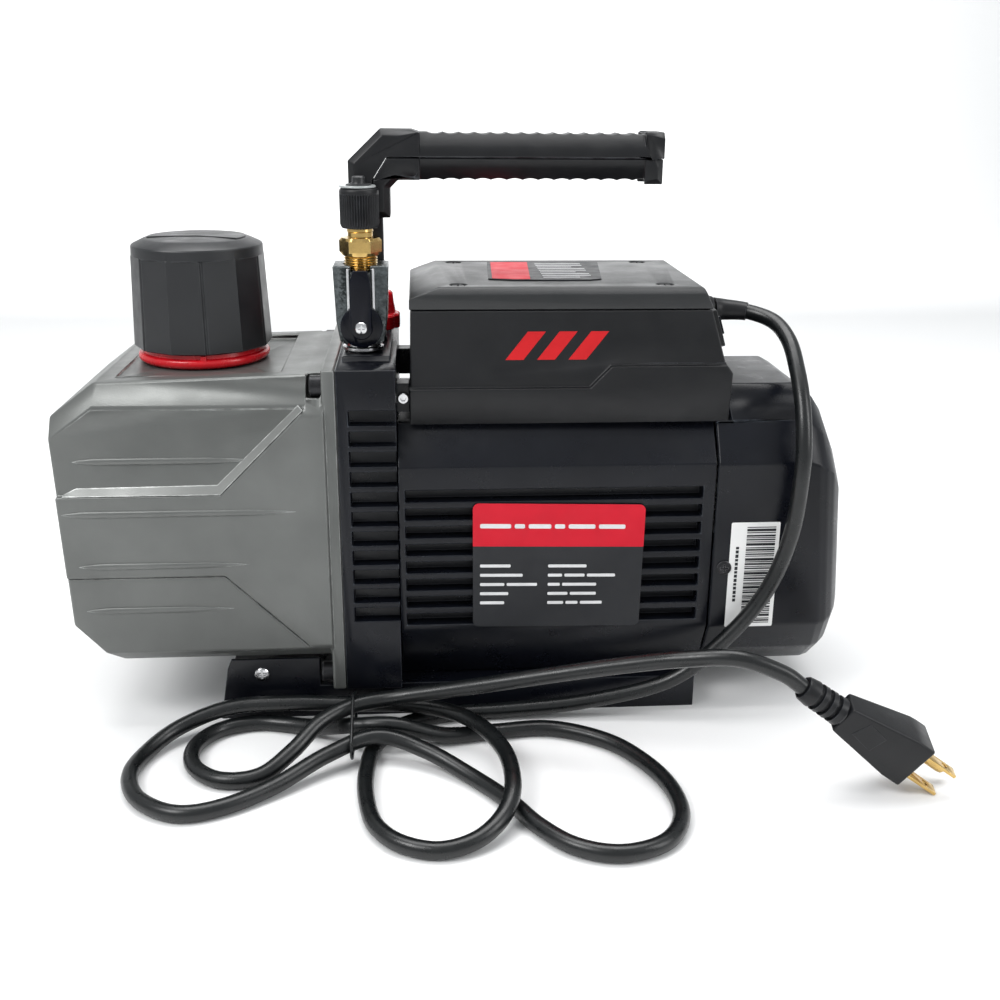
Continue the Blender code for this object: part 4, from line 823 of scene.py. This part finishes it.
def dress_handle(paint):
    cutter = [(0.0, -SCALLOP_HALF), (SCALLOP_RADIUS, -SCALLOP_HALF), (SCALLOP_RADIUS, SCALLOP_HALF),
              (0.0, SCALLOP_HALF)]
    for part, sign, face in (("upper", 1, GRIP_TOP), ("lower", -1, GRIP_BOTTOM)):
        source = f"handle_grip_{part}"
        grip = copy_of(f"handle_shell_{part}", source, paint["black_plastic"])
        chamfer_outside(grip, 0.0030, sign)
        scallops = []
        for k in range(SCALLOP_COUNT):
            x = at(SCALLOP_FIRST) + SCALLOP_PITCH * k
            place = move((x, 0, face + sign * (SCALLOP_RADIUS - SCALLOP_DEPTH))) @ along((0, 1, 0))
            scallops.append(lathe("scallop", cutter, place, paint["black_plastic"], 48))
        carve(grip, merged("scallops", scallops, paint["black_plastic"]))
        show(bevelled(grip, 0.0005, angle=28), "black_plastic", source)
    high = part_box("handle_grip_lower")[1]
    core = prism("handle_seam_core", [(at(-0.0500), 0.2560), (at(-0.0430), 0.2560), (at(-0.0320), 0.2735),
                                      (high.x - 0.0030, 0.2735), (high.x - 0.0030, 0.2755), (at(-0.0350), 0.2755),
                                      (at(-0.0400), 0.2720)],
                 0.020, move((0, 0.010, 0)) @ UPRIGHT, paint["black_plastic"])
    show(bevelled(core, 0.0003), "black_plastic")
    recast("handle_post_bar", "handle_post", paint["dark_steel"], "dark_steel", 0.0006)


# ---------------------------------------------------------------- electrical box

LID_SCREW_X = (-0.0088, 0.0900)
LID_SCREW_Y = 0.0379
STRIPE_FIRST = 0.0130
STRIPE_PITCH = 0.0150
STRIPE_WIDTH = 0.0085
STRIPE_LEAN = 0.0105  # how far a stripe's top stands to the right of its foot
STRIPE_HEIGHTS = (0.1840, 0.1975)


def dress_box(paint):
    recast("box_shell", "box_body", paint["black_plastic"], "black_plastic", 0.0009)
    recast("box_lid_cover", "box_lid", paint["lid_black"], "black_plastic", 0.0007)
    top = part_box("box_lid")[1].z
    number = 0
    for x in LID_SCREW_X:
        for y in (-LID_SCREW_Y, LID_SCREW_Y):
            number += 1
            place = move((at(x), y, top - 0.0015))
            screw = cross_screw(f"lid_screw_{number}", place, 0.0034, 0.0011, paint["dark_steel"])
            show(screw, "dark_steel")
    tag = [(0.0062, -0.0235), (0.0185, -0.0272), (0.0555, -0.0272), (0.0615, -0.0240), (0.0680, 0.0350),
           (0.0090, 0.0350)]
    lift = move((CENTRE_SHIFT, 0, top + 0.0001))
    plate = prism("lid_plate", tag, 0.0005, lift, paint["label"])
    show(bevelled(plate, 0.0002), "label")
    red = [(0.0082, -0.0230), (0.0190, -0.0258), (0.0265, -0.0258), (0.0300, 0.0330), (0.0106, 0.0330)]
    lift = move((CENTRE_SHIFT, 0, top + 0.0006))
    show(prism("lid_plate_red", red, 0.00015, lift, paint["label_red"]), "label")
    bars = []
    for row in range(9):
        y = -0.0205 + row * 0.0058
        length = 0.0240 if row % 3 else 0.0180
        bars.append(box_piece("bar", (at(0.0335), y, top + 0.0006),
                              (at(0.0335) + length, y + 0.0014, top + 0.0007), paint["label_light"]))
    show(merged("lid_plate_lines", bars, paint["label_light"]), "label")

    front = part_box("box_lid")[0].y - 0.0008
    stripes = []
    foot, head = STRIPE_HEIGHTS
    for k in range(3):
        x = STRIPE_FIRST + k * STRIPE_PITCH
        stripe = [(x, foot), (x + STRIPE_WIDTH, foot), (x + STRIPE_LEAN + STRIPE_WIDTH, head), (x + STRIPE_LEAN, head)]
        place = move((CENTRE_SHIFT, front + 0.0001, 0)) @ UPRIGHT
        stripes.append(prism("stripe", stripe, 0.00025, place, paint["accent_red"]))
    show(merged("box_accent_stripes", stripes, paint["accent_red"]), "black_plastic")

    recast("switch_frame", "switch_bezel", paint["black_plastic"], "black_plastic", 0.0006)
    recast("switch_paddle", "rocker_switch", paint["lever_black"], "black_plastic", 0.0004, "rocker")


# ---------------------------------------------------------------- motor, cover and base

# the nameplate's corners from bottom left anticlockwise, and its size
PLATE_CORNERS = [(-0.0030, 0.0514), (0.0805, 0.0500), (0.0813, 0.1145), (-0.0030, 0.1165)]
PLATE_SIZE = (0.0838, 0.0648)


def plate_point(u, v):
    """X and Z on the slightly askew nameplate, u across and v up from its lower left corner."""
    across, up = u / PLATE_SIZE[0], v / PLATE_SIZE[1]
    (x0, z0), (x1, z1), (x2, z2), (x3, z3) = PLATE_CORNERS
    low = (x0 + (x1 - x0) * across, z0 + (z1 - z0) * across)
    high = (x3 + (x2 - x3) * across, z3 + (z2 - z3) * across)
    return at(low[0] + (high[0] - low[0]) * up), low[1] + (high[1] - low[1]) * up


def dress_motor(paint):
    recast("motor_casting", "motor_housing", paint["black_paint"], "black_paint", 0.0006)
    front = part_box("nameplate")[0].y
    wide, tall = PLATE_SIZE

    def plate_piece(name, outline, thick, lift, material):
        points = [plate_point(u, v) for u, v in outline]
        place = move((0, front + thick - lift, 0)) @ UPRIGHT
        return prism(name, points, thick, place, material)

    body = plate_piece("nameplate_dark", rounded_outline((0, 0), (wide, tall), 0.0030), 0.0007, 0.0, paint["label"])
    show(bevelled(body, 0.0002), "label", "nameplate")
    split = tall * 0.66
    header = [point for point in rounded_outline((0, 0), (wide, tall), 0.0030) if point[1] > split]
    header += [(0, split), (wide, split)]
    header = plate_piece("nameplate_header", header, 0.0002, 0.00015, paint["label_red"])
    show(header, "label")
    words = [(0.0035, 0.0522, 0.0022, (0.0150, 0.0050, 0.0110, 0.0050, 0.0130, 0.0130))]
    labels = ((0.0150,), (0.0210,), (0.0120, 0.0150), (0.0140,), (0.0120,))
    values = ((0.0190,), (0.0070, 0.0100, 0.0140), (0.0060, 0.0170), (0.0100, 0.0130), (0.0080, 0.0060, 0.0110))
    for row in range(5):
        v = 0.0318 - 0.0049 * row
        words.append((0.0035, v, 0.0015, labels[row]))
        words.append((0.0370, v, 0.0015, values[row]))
    bars = []
    for start, v, high, lengths in words:
        for length in lengths:
            outline = rounded_outline((start, v), (start + length, v + high), high * 0.3, 2)
            bars.append(plate_piece("bar", outline, 0.0002, 0.0003, paint["label_light"]))
            start += length + high * 0.8
    show(merged("nameplate_lines", bars, paint["label_light"]), "label")


STICKER = ((0.1245, 0.0480), (0.1490, 0.1043))  # lower left and upper right corner, as drawn
LONG_BARS = (0.1325, 0.1470)  # left and right end of the sticker's long bars
SHORT_BARS = (0.1275, 0.1290)


def dress_cover(paint):
    recast("fan_cover_shell", "fan_cover", paint["black_paint"], "black_paint", 0.0012, angle=14)
    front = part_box("fan_cover")[0].y
    face = move((CENTRE_SHIFT, front + 0.0001, 0)) @ UPRIGHT
    sticker = prism("rating_sticker", rounded_outline(*STICKER, 0.0008), 0.0002, face,
                    paint["paper"])
    show(sticker, "label")
    bars = []
    left, right = LONG_BARS
    z, row = 0.0500, 0
    while z < 0.1015:
        thick = (0.0004, 0.0009, 0.0005, 0.0013, 0.0004, 0.0007)[row % 6]
        gap = (0.0005, 0.0004, 0.0009, 0.0005, 0.0006)[row % 5]
        outline = [(left, z), (right, z), (right, z + thick), (left, z + thick)]
        bars.append(prism("bar", outline, 0.0003, face, paint["label"]))
        z += thick + gap
        row += 1
    left, right = SHORT_BARS
    z, row = 0.0620, 0
    while z < 0.0920:
        tall = (0.0016, 0.0013, 0.0018)[row % 3]
        outline = [(left, z), (right, z), (right, z + tall), (left, z + tall)]
        bars.append(prism("bar", outline, 0.0003, face, paint["label"]))
        z += tall + 0.0006
        row += 1
    show(merged("rating_sticker_lines", bars, paint["label"]), "label")
    for name, side in SIDES:
        place = move((at(0.1221), side * -front * 0.999, 0.0804)) @ along((0, side, 0))
        show(cross_screw(f"cover_screw_{name}", place, 0.0037, 0.0013, paint["dark_steel"]), "dark_steel")


def dress_base(paint):
    recast("base_channel", "base_plate", paint["black_paint"], "black_paint", 0.0005)
    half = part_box("base_plate")[1].y
    for name, side in SIDES:
        place = move((at(-0.109), side * half, 0.0249)) @ along((0, side, 0))
        show(cross_screw(f"base_screw_{name}", place, 0.0036, 0.0016, paint["bright_steel"]), "dark_steel")


# ---------------------------------------------------------------- mains lead

def curve_through(points, steps):
    """Catmull-Rom curve through the points, with steps samples for each span."""
    route = [Vector(p) for p in points]
    route = [route[0] * 2 - route[1]] + route + [route[-1] * 2 - route[-2]]
    line = []
    for k in range(1, len(route) - 2):
        before, start, end, after = route[k - 1:k + 3]
        for step in range(steps):
            t = step / steps
            line.append(0.5 * (2 * start + (end - before) * t + (2 * before - 5 * start + 4 * end - after) * t ** 2
                               + (3 * start - before - 3 * end + after) * t ** 3))
    line.append(route[-2])
    return line


def tube(name, points, radius, material, radii=None, sides=5):
    curve = bpy.data.curves.new(name, "CURVE")
    curve.dimensions = "3D"
    curve.bevel_depth = radius
    curve.bevel_resolution = sides
    curve.use_fill_caps = True
    spline = curve.splines.new("POLY")
    spline.points.add(len(points) - 1)
    for k, point in enumerate(points):
        spline.points[k].co = (*point, 1.0)
        if radii:
            spline.points[k].radius = radii[k]
    curve.materials.append(material)
    piece = bpy.data.objects.new(name, curve)
    add(piece)
    return piece


def plug_place():
    start = PLUG_TIP - PLUG_AXIS * PLUG_LENGTH
    across = (PLUG_ACROSS - PLUG_AXIS * PLUG_ACROSS.dot(PLUG_AXIS)).normalized()
    turn = Matrix((across, PLUG_AXIS.cross(across), PLUG_AXIS)).transposed().to_4x4()
    return start, move(start) @ turn


def dress_plug(paint, place):
    """Relief with open slots, wedge-shaped body with an inset panel, two blades and a ground pin."""
    pieces = []
    ribs = [(0.0, 0.0), (0.0052, 0.0), (0.0058, 0.0008), (0.0064, 0.0052)]
    for k in range(3):
        start = 0.0058 + 0.0048 * k
        wide = 0.0064 + 0.0001 * k
        ribs += [(wide, start - 0.0002), (0.0050, start), (0.0050, start + 0.0021), (wide, start + 0.0023),
                 (wide, start + 0.0040)]
    ribs += [(0.0068, 0.0208), (0.0064, RELIEF_LENGTH), (0.0, RELIEF_LENGTH)]
    relief = lathe("plug_relief_ribbed", ribs, place, paint["black_plastic"], 48)
    pieces.append(show(relief, "black_plastic", "plug_strain_relief"))
    pieces.append(recast("plug_moulding", "plug_body", paint["black_plastic"], "black_plastic", 0.0012))
    panel = [(-0.0060, 0.0330), (0.0030, 0.0300), (0.0052, 0.0420), (-0.0042, 0.0440)]
    turn = place @ move((0, -0.0057, 0)) @ UPRIGHT
    inset = prism("plug_panel", panel, 0.0003, turn, paint["black_plastic"])
    pieces.append(show(bevelled(inset, 0.0001), "black_plastic"))
    for letter in "ab":
        blade = f"plug_blade_{letter}"
        pieces.append(recast(f"{blade}_polished", blade, paint["brass"], "brass", 0.0002))
    face = PLUG_LENGTH - BLADE_LENGTH
    pin = [(0.0, face + 0.0003), (0.0024, face + 0.0003), (0.0024, face + 0.0185), (0.0021, face + 0.0202),
           (0.0013, face + 0.0211), (0.0, face + 0.0213)]
    ground = lathe("plug_ground_round", pin, place @ move((0, 0.0110, 0)), paint["brass"], 32)
    pieces.append(show(ground, "brass", "plug_ground_pin"))
    return pieces


def dress_tie(paint):
    """Wire tie: the loop round the bundle."""
    loop = [(-0.1092, 0.0118), (-0.1086, 0.0089), (-0.1066, 0.0068), (-0.1038, 0.0060),
            (-0.0845, 0.0055), (-0.0661, 0.0072), (-0.0634, 0.0080), (-0.0613, 0.0101),
            (-0.0606, 0.0127), (-0.0613, 0.0155), (-0.0634, 0.0177), (-0.0800, 0.0254),
            (-0.0830, 0.0261), (-0.0860, 0.0252), (-0.1064, 0.0166), (-0.1085, 0.0146),
            (-0.1092, 0.0118)]
    centre_x = middle_of("cable_tie").x
    ring = curve_through([(centre_x, y, z) for y, z in loop], 5)
    return show(tube("cable_tie_wire", ring, 0.0008, paint["rubber"], sides=3), "rubber",
                "cable_tie")


def dress_cord(paint):
    start, place = plug_place()
    last = start - PLUG_AXIS * 0.0003
    route = [(at(x), y, z) for x, y, z in CORD_ROUTE] + [last - PLUG_AXIS * 0.012, last]
    line = curve_through(route, 8)
    pieces = dress_plug(paint, place)
    tie = dress_tie(paint)
    cord = show(tube("mains_lead", line, CORD_RADIUS, paint["rubber"], sides=6), "rubber",
                "power_cord")
    steps = 14
    radii = [1.0 - 0.26 * k / steps for k in range(steps + 1)]
    relief = tube("cord_relief_taper", line[1:steps + 2], 0.0062, paint["black_plastic"], radii, 6)
    show(relief, "black_plastic")
    gland_low, gland_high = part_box("cord_gland")
    reach = gland_high.x - gland_low.x
    profile = [(0.0, 0.0), (0.0049, 0.0), (0.0049, 0.0120), (0.0078, 0.0120), (0.0080, 0.0126), (0.0080, 0.0140),
               (0.0072, 0.0150), (0.0066, reach), (0.0, reach)]
    middle = (gland_low + gland_high) / 2
    gland = lathe("cord_gland_bush", profile, move((gland_low.x, middle.y, middle.z)) @ along((1, 0, 0)),
                  paint["black_plastic"], 64)
    show(gland, "black_plastic", "cord_gland")


# ---------------------------------------------------------------- whole pump

def repaint_frame(paint):
    """Give every CAD node its finished material, hidden ones included."""
    slots = {row["node"]: row["material_slot"] for row in frame["record"]["subparts"]}
    for name, piece in NODES.items():
        for holder in piece.material_slots:
            holder.material = paint[slots[name]]


aim_camera()
lay_floor()
set_lights()
PAINT = make_materials()
repaint_frame(PAINT)
dress_cord(PAINT)
dress_tank(PAINT)
dress_oil_cap(PAINT)
dress_pump_block(PAINT)
dress_inlet(PAINT)
dress_gas_ballast(PAINT)
dress_handle(PAINT)
dress_box(PAINT)
dress_motor(PAINT)
dress_cover(PAINT)
dress_base(PAINT)
